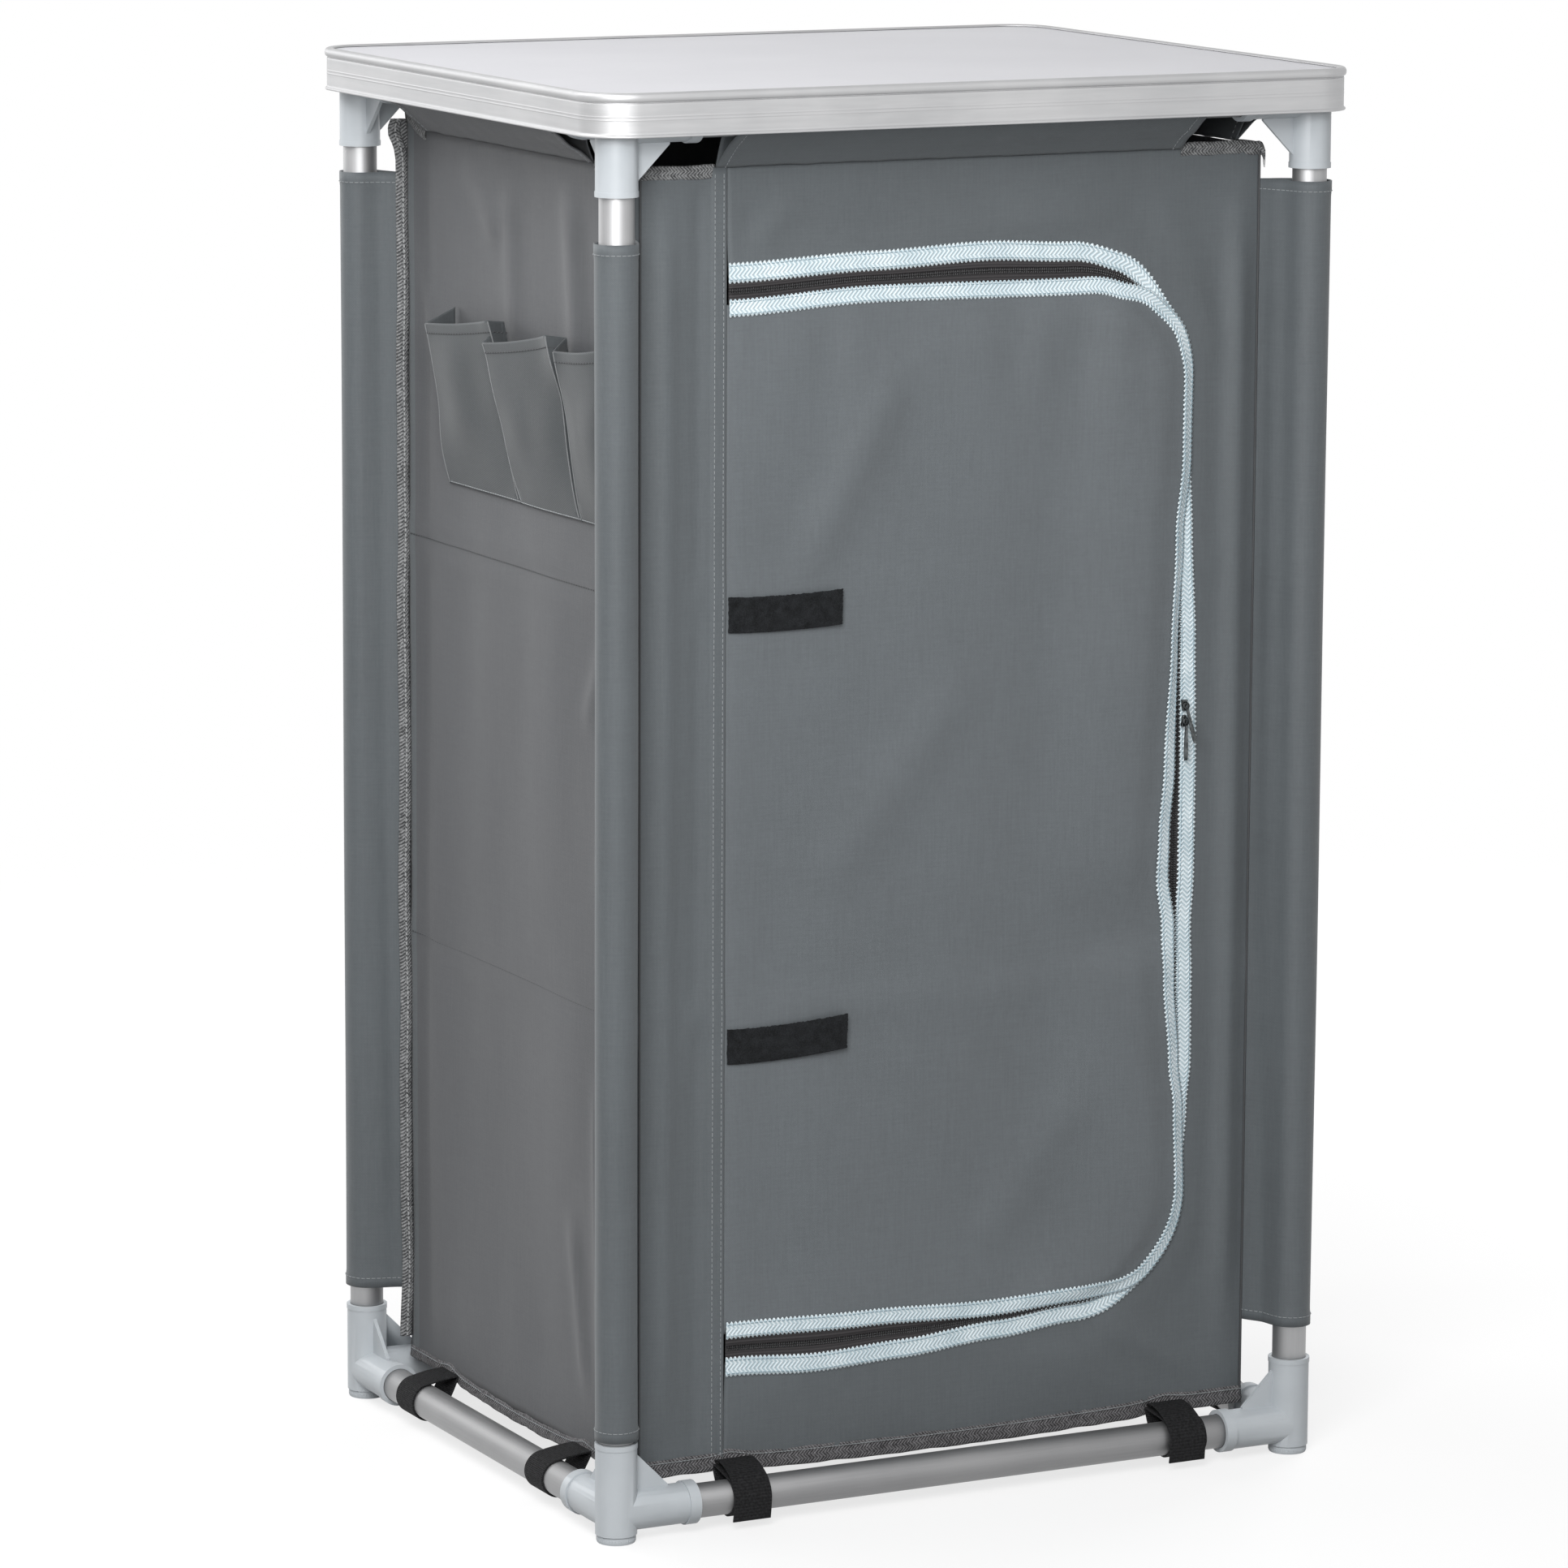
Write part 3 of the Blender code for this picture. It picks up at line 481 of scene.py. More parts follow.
def lay_measure(bm, value_of):
    """Gives a piece its own flat measure, from the place of each corner of its faces."""
    layers = bm.loops.layers.uv
    measure = layers.get("flat") or layers.new("flat")
    for face in bm.faces:
        for loop in face.loops:
            loop[measure].uv = value_of(loop.vert.co)


def cloth_grid(across, along, place, flat=None):
    """A grid of cloth, whose points place(u, v) gives. It is measured by the size that it was cut to,
    or, where none is given, by its place on the front."""
    bm = bmesh.new()
    bmesh.ops.create_grid(bm, x_segments=across, y_segments=along, size=0.5)
    if flat:
        lay_measure(bm, lambda spot: ((spot.x + 0.5) * flat[0], (spot.y + 0.5) * flat[1]))
    for vert in bm.verts:
        vert.co = place(vert.co.x + 0.5, vert.co.y + 0.5)
    if not flat:
        lay_measure(bm, lambda spot: spot.xz)
    return bm


def area_of(bm):
    return sum(face.calc_area() for face in bm.faces)


def ease(value):
    """From 0 to 1 with a soft start and a soft stop."""
    value = min(1.0, max(0.0, value))
    return value * value * (3.0 - 2.0 * value)


def bump(value, middle, width):
    return math.exp(-(((value - middle) / width) ** 2))


def slack(across, up, seed):
    """How far slack cloth stands off its plane, from about -1 to 1, in folds drawn out upwards."""
    broad = noise.noise((across * 6.0, up * 1.7, seed))
    fine = noise.noise((across * 17.0, up * 5.0, seed + 7.0))
    return 0.78 * broad + 0.22 * fine


def crease(across, up, start, end, width):
    """1 on a line between two points of a panel, and nothing a width or two away from it."""
    line = (end[0] - start[0], end[1] - start[1])
    length = math.hypot(*line)
    share = ((across - start[0]) * line[0] + (up - start[1]) * line[1]) / length**2
    aside = abs((across - start[0]) * line[1] - (up - start[1]) * line[0]) / length
    return math.exp(-((aside / width) ** 2)) * ease(share * 4.0) * ease((1.0 - share) * 4.0)


def creases(table, across, up):
    """The creases of a table, which gives the height, both ends and the width of each."""
    return sum(height * crease(across, up, start, end, width) for height, start, end, width in table)


def clear_of_shelves(stand, up, least):
    """Keeps slack cloth from sinking into the shelves' edges, near their levels only."""
    kept = least + (stand - least + math.hypot(stand - least, 0.0012)) / 2.0
    near = max(bump(up, level, shelf_reach) for level in shelf_seams)
    return stand + (kept - stand) * near


def wall_directions(start, end):
    """Along a wall, and straight out of it."""
    along = (Vector((*end, 0.0)) - Vector((*start, 0.0))).normalized()
    return along, Vector((along.y, -along.x, 0.0))


def wall_spot(start, end, stand, across, up):
    """A point on a wall's face, from its distance along the wall and its level."""
    along, outward = wall_directions(start, end)
    return Vector((*start, up)) + along * across + outward * stand(across, up)


def wall(name, start, end, stand, finish, node, rail, cells, crest=None):
    """A wall of cloth from one corner to the next, anticlockwise seen from above."""
    width = math.dist(start, end)
    length = top_level - base_level

    def place(u, v):
        across = u * width
        up = base_level + v * length
        spot = wall_spot(start, end, stand, across, up)
        if crest:
            spot.z += crest(across) * ease((up - top_level + crest_fade) / crest_fade)
        return spot

    bm = cloth_grid(*cells, place, (width, length))
    cut = area_of(bm) / length
    piece = show(name, bm, finish, "frame", [node], smooth_angle=80.0)
    thicken(piece, cloth_thickness)
    return piece


strip_low, strip_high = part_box("front_strip")
half_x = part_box("front_frame")[1].x
half_y = -strip_low.y
base_level = strip_low.z
top_level = strip_high.z


def held_edges(across, up, width, margin):
    """0 at a wall's edges, where it is sewn, and 1 a margin inside them."""
    sides = min(across, width - across) / margin
    ends = min(up - base_level, top_level - up) / margin
    return ease(sides) * ease(ends)


# Creases that fade towards the sewn edges, and others that run into a seam.
left_creases = (
    (0.0035, (0.006, 0.95), (0.05, 0.80), 0.009), (0.0028, (0.190, 0.82), (0.178, 0.955), 0.013),
    (0.0052, (0.302, 0.80), (0.280, 0.975), 0.016), (0.0040, (0.10, 0.965), (0.17, 0.90), 0.014),
)
left_seam_creases = (
    (0.0036, (0.345, 0.06), (0.335, 0.34), 0.008), (0.0024, (0.370, 0.10), (0.364, 0.42), 0.006),
    (0.0030, (0.315, 0.07), (0.29, 0.22), 0.010), (0.0030, (0.372, 0.60), (0.345, 0.44), 0.012),
    (0.0025, (0.36, 0.665), (0.31, 0.56), 0.010),
)


def seamed(stand, across, up, width):
    """A wall's stand, kept clear of the shelves and drawn in a little by their rows of stitches."""
    stand = clear_of_shelves(stand, up, 0.0004)
    inside = ease(across / groove_fade) * ease((width - across) / groove_fade)
    return stand - groove_depth * inside * sum(bump(up, level, groove_width) for level in shelf_seams)


def left_stand(across, up):
    free = held_edges(across, up, half_y * 2, wall_margin)
    stand = wall_slack * slack(across, up, 3.0) * free
    stand -= 0.0040 * bump(across, 0.030, 0.012) * free
    stand += creases(left_creases, across, up) * free + creases(left_seam_creases, across, up)
    return seamed(stand, across, up, half_y * 2)


def plain_stand(seed, width):
    def stand(across, up):
        lift = wall_slack * slack(across, up, seed) * held_edges(across, up, width, wall_margin)
        return seamed(lift, across, up, width)

    return stand


side_cloth = coated_cloth("cloth_of_the_sides", 0.079, (0.945, 0.985, 1.06), 0.30)
front_cloth = coated_cloth("cloth_of_the_front", 0.101, (0.885, 1.0, 1.075))
corners = {
    "front_left": (-half_x, -half_y), "front_right": (half_x, -half_y),
    "back_right": (half_x, half_y), "back_left": (-half_x, half_y),
}


def left_crest(across):
    """The ear at the back corner, where the wall's top is pulled up."""
    return ear_rise * max(0.0, 1.0 - across / ear_width) ** 1.5


side_walls = (
    ("left", "back_left", "front_left", left_stand, 56, left_crest),
    ("right", "front_right", "back_right", plain_stand(11.0, half_y * 2), 56, None),
    ("back", "back_right", "back_left", plain_stand(23.0, half_x * 2), 72, None),
)
for side, start, end, stand, cells, crest in side_walls:
    piece = wall(
        f"{side}_wall", corners[start], corners[end], stand, side_cloth, f"{side}_panel", side,
        (cells, 120), crest,
    )
    # The last strip beside each back corner is cut from the front's cloth.
    piece.data.materials.append(front_cloth)
    for polygon in piece.data.polygons:
        spot = polygon.center
        if abs(spot.x) > half_x - back_strip_depth and spot.y > half_y - back_strip_width:
            polygon.material_index = 1


# Floor and shelves
# Stiff boards covered with the same cloth. A row of dark stitches through the walls, at the level of
# each shelf, holds them.
thread_radius = 0.00032
stitch_pitch = 0.0040
stitch_share = 0.30
stitch_dip_share = 0.12
seam_margin = 0.006
shelf_stitch_radius = 0.0005
shelf_round = 0.0014


def measured(points):
    """A line's points with the distance to each of them."""
    points = [Vector(point) for point in points]
    distances = [0.0]
    for before, after in zip(points, points[1:]):
        distances.append(distances[-1] + (after - before).length)
    return points, distances


def point_along(line, distance):
    points, distances = line
    index = min(max(bisect.bisect_right(distances, distance), 1), len(points) - 1)
    gap = distances[index] - distances[index - 1]
    share = (distance - distances[index - 1]) / gap if gap else 0.0
    return points[index - 1].lerp(points[index], share)


def swept(line, radius, sides, per_metre, lift=None, turn=None):
    """A thin round strand along a line. lift(distance) moves it off the line, along its normal, which
    turn is, or gives at a point."""
    length = line[1][-1]
    steps = max(2, int(length * per_metre))
    frames = []
    for step in range(steps + 1):
        distance = length * step / steps
        ahead = point_along(line, min(length, distance + 0.0005))
        behind = point_along(line, max(0.0, distance - 0.0005))
        along = (ahead - behind).normalized()
        centre = point_along(line, distance)
        normal = turn(centre) if callable(turn) else turn or Vector((0, -1, 0))
        side = along.cross(normal).normalized()
        normal = side.cross(along)
        if lift:
            centre += normal * lift(distance)
        frames.append((centre, side, normal))

    def place(u, v):
        centre, side, normal = frames[round(v * steps)]
        angle = -math.tau * u
        return centre + (side * math.cos(angle) + normal * math.sin(angle)) * radius

    bm = cloth_grid(sides, steps, place, (math.tau * radius, length))
    bmesh.ops.remove_doubles(bm, verts=bm.verts, dist=radius * 0.05)
    bmesh.ops.holes_fill(bm, edges=bm.edges, sides=sides)
    return bm


def stitching(name, points, finish, body, turn=None, pitch=stitch_pitch, radius=thread_radius):
    """A row of stitches: the thread shows for most of its pitch and then dips under."""

    def lift(distance):
        share = distance / pitch % 1.0
        return radius * 0.6 - radius * 2.6 * ease((abs(share - 0.5) - stitch_share) / stitch_dip_share)

    bm = swept(measured(points), radius, 5, 8.0 / pitch, lift, turn)
    return show(name, bm, finish, body, smooth_angle=60.0)


def thread_finish(name, colour):
    finish = new_finish(name, colour, 0.55, specular=0.4)
    plies = speckle(finish, 2600.0, detail=1.0)
    to_shader(
        finish,
        Colour=shade(finish, plies, *tones_about(colour, 0.2), 0.35, 0.65),
        Normal=relief(finish, plies, 0.00006),
    )
    return finish


def block(size, middle=(0, 0, 0)):
    """A box of a size, about its middle."""
    bm = bmesh.new()
    bmesh.ops.create_cube(bm, size=1.0)
    bmesh.ops.scale(bm, vec=size, verts=bm.verts)
    bmesh.ops.translate(bm, vec=middle, verts=bm.verts)
    return bm


def round_edges(bm, edges, width, segments):
    bmesh.ops.bevel(
        bm, geom=edges, offset=width, offset_type="OFFSET", segments=segments, profile=0.5,
        affect="EDGES", material=-1,
    )


for node in ("cabinet_floor", "lower_shelf", "upper_shelf"):
    low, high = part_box(node)
    bm = block(high - low, (low + high) / 2)
    round_edges(bm, bm.edges[:], shelf_round, 3)
    level = [edge for edge in bm.edges if any(abs(face.normal.z) > 0.99 for face in edge.link_faces)]
    bmesh.ops.subdivide_edges(bm, edges=level, cuts=7, use_grid_fill=True)
    lay_measure(bm, lambda spot: spot.xy)
    show(f"{node}_cloth", bm, side_cloth, "frame", [node])

# This dark finish serves real stitches, and also the corner strands that are painted shadow.
dark_thread_and_shadow = thread_finish("dark_thread_and_shadow", (0.045, 0.047, 0.05))
for side, start, end, stand, cells, crest in side_walls:
    start, end = corners[start], corners[end]
    width = math.dist(start, end) - 2 * seam_margin
    outward = wall_directions(start, end)[1]
    for tier, level in zip(("upper", "lower"), shelf_seams):
        run = [wall_spot(start, end, stand, seam_margin + width * step / 90, level) for step in range(91)]
        name = f"{tier}_shelf_stitches_{side}"
        stitching(name, run, dark_thread_and_shadow, "frame", outward, radius=shelf_stitch_radius)


# Hinge strip
# The front's left strip, sewn to the corner. Its free edge is turned under over the edge of the
# door and of the doorway, and two rows of stitching hold the turning.
seam_width = 0.0115
turning_step = 0.0011
turning_fade = 0.0015
strip_margin = 0.03
hinge_tuck = 0.0012
hinge_rows = {"outer": seam_width - 0.0022, "inner": 0.0024}
row_margin = 0.004
strip_right = strip_high.x


def strip_stand(across, up):
    width = strip_right + half_x
    free = held_edges(across, up, width, strip_margin)
    lift = (0.0042 * slack(across, up, 41.0) - 0.0022 * bump(across, 0.051, 0.007)) * free
    ends = ease((up - base_level) / 0.1) * ease((top_level - up) / 0.1)
    lift += 0.0042 * bump(across, 0.024, 0.010) * ends
    lift = clear_of_shelves(lift, up, 0.0)
    return lift + turning_step * ease((across - (width - seam_width)) / turning_fade)


wall(
    "hinge_strip", corners["front_left"], (strip_right, -half_y), strip_stand, front_cloth,
    "front_strip", "front", (44, 150),
)
grey_thread = thread_finish("grey_thread", (0.27, 0.285, 0.295))
for label, inset in hinge_rows.items():
    x = strip_right - inset
    run = []
    for step in range(120):
        level = base_level + row_margin + (top_level - base_level - 2 * row_margin) * step / 119
        run.append((x, -half_y - strip_stand(x + half_x, level), level))
    stitching(f"hinge_stitches_{label}", run, grey_thread, "frame")


# Doorway
# The rest of the front, cut out round the door. Its zip runs along the top, down the far side and
# back along the bottom, with a round corner between, and the cloth puckers where the zip pulls.
zip_left = strip_right + 0.002
zip_x = 0.189
zip_top = 0.887
zip_bottom = 0.126
zip_radius = 0.080
doorway_margin = 0.05
zip_runs = (
    zip_x - zip_radius - zip_left,
    zip_radius * math.pi / 2,
    zip_top - zip_bottom - 2 * zip_radius,
    zip_radius * math.pi / 2,
    zip_x - zip_radius - zip_left,
)
zip_length = sum(zip_runs)


def zip_point(share):
    """A point of the zip's line, in X and Z, with the direction away from the door."""
    distance = min(1.0, max(0.0, share)) * zip_length
    arc_x = zip_x - zip_radius
    for index, run in enumerate(zip_runs):
        if distance <= run or index == 4:
            break
        distance -= run
    part = min(1.0, distance / run)
    if index == 0:
        return Vector((zip_left + distance, 0, zip_top)), Vector((0, 0, 1))
    if index == 2:
        return Vector((zip_x, 0, zip_top - zip_radius - distance)), Vector((1, 0, 0))
    if index == 4:
        return Vector((arc_x - distance, 0, zip_bottom)), Vector((0, 0, -1))
    angle = math.pi / 2 * (1.0 - part) if index == 1 else -math.pi / 2 * part
    away = Vector((math.cos(angle), 0, math.sin(angle)))
    middle = zip_top - zip_radius if index == 1 else zip_bottom + zip_radius
    return Vector((arc_x, 0, middle)) + away * zip_radius, away


def reading(table, share):
    """A smooth reading between the entries of a table of shares and millimetres, in metres."""
    shares = [entry[0] for entry in table]
    index = min(max(bisect.bisect_right(shares, share), 1), len(table) - 1)
    (before, low), (after, high) = table[index - 1], table[index]
    return (low + (high - low) * ease((share - before) / (after - before))) / 1000.0


# How far the edges of the two trims stand from the zip's line, outwards, along its length.
door_edge_shares = (
    (0.0, -8.3), (0.08, -3.1), (0.19, -4.6), (0.22, -4.2), (0.245, 3.1), (0.268, 8.0), (0.33, 7.0),
    (0.371, 1.5), (0.427, -2.1), (0.49, -3.0), (0.525, -6.4), (0.546, -7.0), (0.574, -1.3), (0.60, -1.0),
    (0.644, 3.3), (0.669, 7.6), (0.727, 9.6), (0.757, 8.5), (0.793, -1.6), (0.85, 1.6), (0.92, -1.9),
    (1.0, -5.0),
)
doorway_edge_shares = (
    (0.0, 3.8), (0.08, 7.9), (0.143, 11.0), (0.192, 7.8), (0.217, 2.4), (0.253, -7.5), (0.33, -6.5),
    (0.371, -4.0), (0.427, 0.0), (0.49, 1.5), (0.546, 1.4), (0.574, -0.6), (0.60, 0.3), (0.644, 1.0),
    (0.669, -2.0), (0.70, -5.0), (0.757, -5.0), (0.80, 0.6), (0.845, 6.2), (0.90, 11.8), (0.946, 14.1),
    (1.0, 9.6),
)
trim_width = 0.0135
door_trim_width = 0.0115
doorway_creases = (
    (0.0022, (0.16, 0.96), (0.23, 0.80), 0.014), (0.0026, (0.12, 0.118), (0.225, 0.05), 0.012),
    (0.0022, (-0.12, 0.96), (-0.16, 0.91), 0.012),
)


def beyond_zip(x, z):
    """How far a point of the front lies outside the zip's line."""
    aside = max(0.0, x - zip_x + zip_radius)
    above = max(0.0, abs(z - (zip_top + zip_bottom) / 2) - (zip_top - zip_bottom) / 2 + zip_radius)
    return math.hypot(aside, above) - zip_radius


def doorway_stand(x, z):
    """How far the cloth round the doorway stands forward of its plane."""
    free = held_edges(x + half_x, z, half_x * 2, doorway_margin)
    lift = 0.0068 * slack(x, z, 59.0) * free * ease((beyond_zip(x, z) - 0.016) / 0.026)
    margin = bump(x, 0.2335, 0.0095) * ease((z - base_level) / 0.16) * ease((top_level - z) / 0.12)
    lift += 0.0066 * margin * (0.8 + 0.4 * noise.noise((0.0, z * 3.0, 5.0)))
    lift += creases(doorway_creases, x, z) * free
    return clear_of_shelves(lift, z, 0.0) * ease((x - strip_right) / 0.02)


doorway_left = strip_right - hinge_tuck


def outer_point(share):
    """The point on the front's outer edge that a share of the zip's line answers to."""
    top = zip_runs[0] + zip_runs[1] / 2
    side = zip_runs[1] / 2 + zip_runs[2] + zip_runs[3] / 2
    distance = share * zip_length
    if distance < top:
        return Vector((doorway_left + (half_x - doorway_left) * distance / top, 0, top_level))
    if distance < top + side:
        part = (distance - top) / side
        return Vector((half_x, 0, top_level + (base_level - top_level) * part))
    part = (distance - top - side) / top
    return Vector((half_x + (doorway_left - half_x) * part, 0, base_level))


def doorway_place(u, v):
    inner, away = zip_point(u)
    inner = inner + away * (reading(doorway_edge_shares, u) + trim_width * 0.25)
    inner.x = max(inner.x, doorway_left)
    point = inner.lerp(outer_point(u), v)
    point.y = -half_y - doorway_stand(point.x, point.z)
    return point


bm = cloth_grid(320, 26, doorway_place)
doorway_area = area_of(bm) + zip_length * seam_width
doorway = show("doorway_front", bm, front_cloth, "frame", ["front_frame"], smooth_angle=80.0)
thicken(doorway, cloth_thickness)


# Door
# One panel of the same cloth, sewn in at the hinge strip. Its zipped edge rolls back a little, so
# that the cloth stands forward of the zip down the far side.
door_step = 0.0010
door_proud = 0.0020
roll_reach = 0.035
roll_fade = 0.085
# How far the inner edge of the door's trim stands forward of its outer edge, along the zip.
roll_shares = (
    (0.0, 0.0), (0.22, 0.0), (0.268, 4.0), (0.294, 5.8), (0.33, 6.0), (0.427, 7.4), (0.49, 4.0),
    (0.525, 3.7), (0.574, 1.0), (0.60, 4.0), (0.669, 5.2), (0.70, 5.8), (0.757, 3.0), (0.793, 0.6),
    (1.0, 0.0),
)
door_creases = (
    (0.0036, (-0.03, 0.845), (-0.13, 0.66), 0.018), (0.0030, (0.03, 0.62), (-0.11, 0.44), 0.022),
    (0.0024, (0.12, 0.30), (0.02, 0.16), 0.020),
)


def share_beside(z):
    """The zip's share at a height, on its far side."""
    upper, lower = zip_top - zip_radius, zip_bottom + zip_radius
    if z > upper:
        angle = math.asin(min(1.0, (z - upper) / zip_radius)) / (math.pi / 2)
        distance = zip_runs[0] + zip_runs[1] * (1.0 - angle)
    elif z < lower:
        angle = math.asin(min(1.0, (lower - z) / zip_radius)) / (math.pi / 2)
        distance = sum(zip_runs[:3]) + zip_runs[3] * angle
    else:
        distance = zip_runs[0] + zip_runs[1] + upper - z
    return distance / zip_length


def door_edge(share, inset=0.0):
    point, away = zip_point(share)
    return point + away * (reading(door_edge_shares, share) - inset)


def trim_reach(share):
    """How far the door's trim reaches inwards in plan, where it is tilted."""
    roll = reading(roll_shares, share)
    return math.sqrt(door_trim_width**2 - roll**2), roll


def door_stand(x, z):
    """How far the face of the door stands forward of the cabinet's front plane."""
    share = share_beside(z)
    reach, roll = trim_reach(share)
    inside = door_edge(share).x - x
    if inside < reach:
        proud = roll * max(0.0, inside / reach)
    else:
        crest = roll + 0.0040 * ease(roll / 0.004)
        proud = roll + (crest - roll) * ease((inside - reach) / (roll_reach - reach))
        proud -= proud * ease((inside - roll_reach) / roll_fade)
    rim = min(1.0, max(0.0, min(zip_top - z, z - zip_bottom) / 0.06))
    free = ease((x - zip_left) / 0.05) * ease(rim) * ease(inside / 0.03)
    pucker = noise.noise((x * 34.0, z * 2.5, 5.0)) * ease(1.0 - (zip_top - 0.02 - z) / 0.13)
    fold = (0.0062 * slack(x * 0.9, z, 71.0) + 0.0030 * pucker + creases(door_creases, x, z)) * free
    tucked = ease((x - strip_right + hinge_tuck) / 0.012)
    stand = clear_of_shelves(door_proud + proud + fold, z, door_step)
    return stand * tucked + door_step * (1.0 - tucked)


arc_share = (zip_runs[0] + zip_runs[1] / 2) / zip_length
edge_inset = door_trim_width * 0.3


def door_place(u, v):
    top, bottom = door_edge(u * arc_share, edge_inset), door_edge(1.0 - u * arc_share, edge_inset)
    far = door_edge(arc_share + (1.0 - v) * (1.0 - 2 * arc_share), edge_inset)
    high, low = door_edge(0.0, edge_inset), door_edge(1.0, edge_inset)
    high_far, low_far = door_edge(arc_share, edge_inset), door_edge(1.0 - arc_share, edge_inset)
    near = low.lerp(high, v)
    ends = low.lerp(low_far, u).lerp(high.lerp(high_far, u), v)
    point = bottom.lerp(top, v) + near.lerp(far, u) - ends
    point.x -= (zip_left - doorway_left) * (1.0 - u) ** 12
    point.y = -half_y - door_stand(point.x, point.z) + door_step
    return point


bm = cloth_grid(110, 170, door_place)
door_area = area_of(bm)
# The door takes a lighter copy of the front's cloth; the extra lightness is painted light, for the broad
# sheen over the door.
door_cloth_painted_lighter = coated_cloth("front_cloth_painted_lighter", 0.123, (0.895, 1.0, 1.075))
door = show("door_cloth", bm, door_cloth_painted_lighter, "door", ["door_panel"], smooth_angle=80.0)
thicken(door, cloth_thickness)


# Zip
# A black nylon coil zip. Each half is a ribbed tape with a coil along its edge; one is sewn to the
# door and the other to the doorway, under the trims.
tape_step = 0.0002
tape_cover = 0.004
tape_thickness = 0.0006
tape_rib = 0.0024
tape_pick = 0.0009
coil_radius = 0.0009
coil_wire = 0.00034
coil_pitch = 0.0018
coil_offset = 0.0009


def black_tape_finish():
    finish = new_finish("zip_tape_black", (0.018, 0.018, 0.019), 0.65, specular=0.35)
    along, across = flat_measure(finish)
    ribs = waves(finish, across, tape_rib)
    height = blended(finish, (ribs, 1.0), (waves(finish, along, tape_pick), 0.35))
    to_shader(
        finish,
        Colour=shade(finish, height, (0.014, 0.013, 0.014), (0.044, 0.040, 0.042), -1.2, 1.2),
        Normal=relief(finish, height, 0.00012, 0.8),
    )
    return finish


def coil_finish():
    finish = new_finish("zip_coil_black", (0.018, 0.018, 0.018), 0.28, specular=1.0)
    clouds = speckle(finish, 900.0)
    to_shader(
        finish,
        Colour=shade(finish, clouds, (0.018, 0.018, 0.019), (0.050, 0.050, 0.052), 0.35, 0.65),
        Roughness=spread(finish, clouds, 0.2, 0.38, 0.35, 0.65),
    )
    return finish


def zip_middle(share):
    return (reading(door_edge_shares, share) + reading(doorway_edge_shares, share)) / 2


def zip_spot(share, offset, stand):
    point, away = zip_point(share)
    point = point + away * offset
    point.x = max(point.x, strip_right)
    point.y = -half_y - stand
    return point


zip_black = black_tape_finish()
coil_black = coil_finish()
for side, body, sign in (("door", "door", -1), ("doorway", "frame", 1)):

    def tape_place(u, v):
        middle = zip_middle(u)
        if sign < 0:
            edge = min(reading(door_edge_shares, u) - tape_cover, middle - 0.001)
            offset = edge + (middle - edge) * v
        else:
            edge = max(reading(doorway_edge_shares, u) + tape_cover, middle + 0.001)
            offset = middle + (edge - middle) * v
        return zip_spot(u, offset, tape_step)

    bm = cloth_grid(420, 3, tape_place, (zip_length, 0.012))
    tape = show(f"zip_tape_{side}", bm, zip_black, body)
    thicken(tape, tape_thickness)

    turns = int(zip_length / coil_pitch)

    def coil_place(u, v):
        turn = math.tau * turns * u
        centre = zip_spot(u, zip_middle(u) + sign * coil_offset, tape_step + coil_radius * 0.8)
        forward = (zip_spot(min(1.0, u + 0.0004), 0, 0) - zip_spot(max(0.0, u - 0.0004), 0, 0)).normalized()
        aside = forward.cross(Vector((0, -1, 0)))
        spoke = aside * math.cos(turn) + Vector((0, -1, 0)) * math.sin(turn)
        ring = math.tau * v
        reach = coil_radius + coil_wire * math.cos(ring)
        return centre + spoke * reach + forward * coil_wire * math.sin(ring)

    bm = cloth_grid(turns * 7, 4, coil_place, (zip_length, 0.002))
    bmesh.ops.remove_doubles(bm, verts=bm.verts, dist=coil_wire * 0.1)
    bmesh.ops.holes_fill(bm, edges=bm.edges, sides=4)
    bmesh.ops.recalc_face_normals(bm, faces=bm.faces)
    show(f"zip_coil_{side}", bm, coil_black, body)


# Trims of the zip
# Pale blue herringbone webbing with a looped selvedge, laid along both sides of the zip and sewn
# down near each edge. The doorway's is the wider one.
trim_step = 0.0010
trim_thickness = 0.0009
trim_stitch_pitch = 0.0036
trim_stitch_radius = 0.00034
trim_rows = {"inner": 0.14, "outer": 0.86}
loop_pitch = 0.0034
loop_depth = 0.0008
twill_pitch = 0.0034
twill_column = 0.0045
twill_yarn = 0.0008


def webbing_finish():
    finish = new_finish("pale_blue_webbing", (0.56, 0.68, 0.74), 0.62, specular=0.4, sheen=0.15)
    along, across = flat_measure(finish)
    column = figure(finish, "PINGPONG", across, twill_column)
    twill = waves(finish, blended(finish, (along, 1.0), (column, 0.9)), twill_pitch)
    height = blended(finish, (twill, 1.0), (waves(finish, across, twill_yarn), 0.3))
    clouds = speckle(finish, 40.0, detail=4.0)
    tint = blended(finish, (height, 0.34), (clouds, 1.0))
    to_shader(
        finish,
        Colour=shade(finish, tint, (0.48, 0.60, 0.655), (0.84, 0.93, 0.97), 0.25, 0.75),
        Normal=relief(finish, height, 0.00030, 0.8),
    )
    return finish


trim_blue = webbing_finish()
blue_thread = thread_finish("pale_blue_thread", (0.25, 0.34, 0.39))


def looped(u, v):
    """How far the loops of the selvedge reach out, at the two sides of a trim."""
    side = 1 if v > 0.99 else -1 if v < 0.01 else 0
    return side * loop_depth * math.sin(math.tau * u * zip_length / loop_pitch)


def doorway_trim_place(u, v):
    offset = reading(doorway_edge_shares, u) + trim_width * v + looped(u, v)
    point = zip_spot(u, offset, 0)
    point.y -= doorway_stand(point.x, point.z) + trim_step
    return point


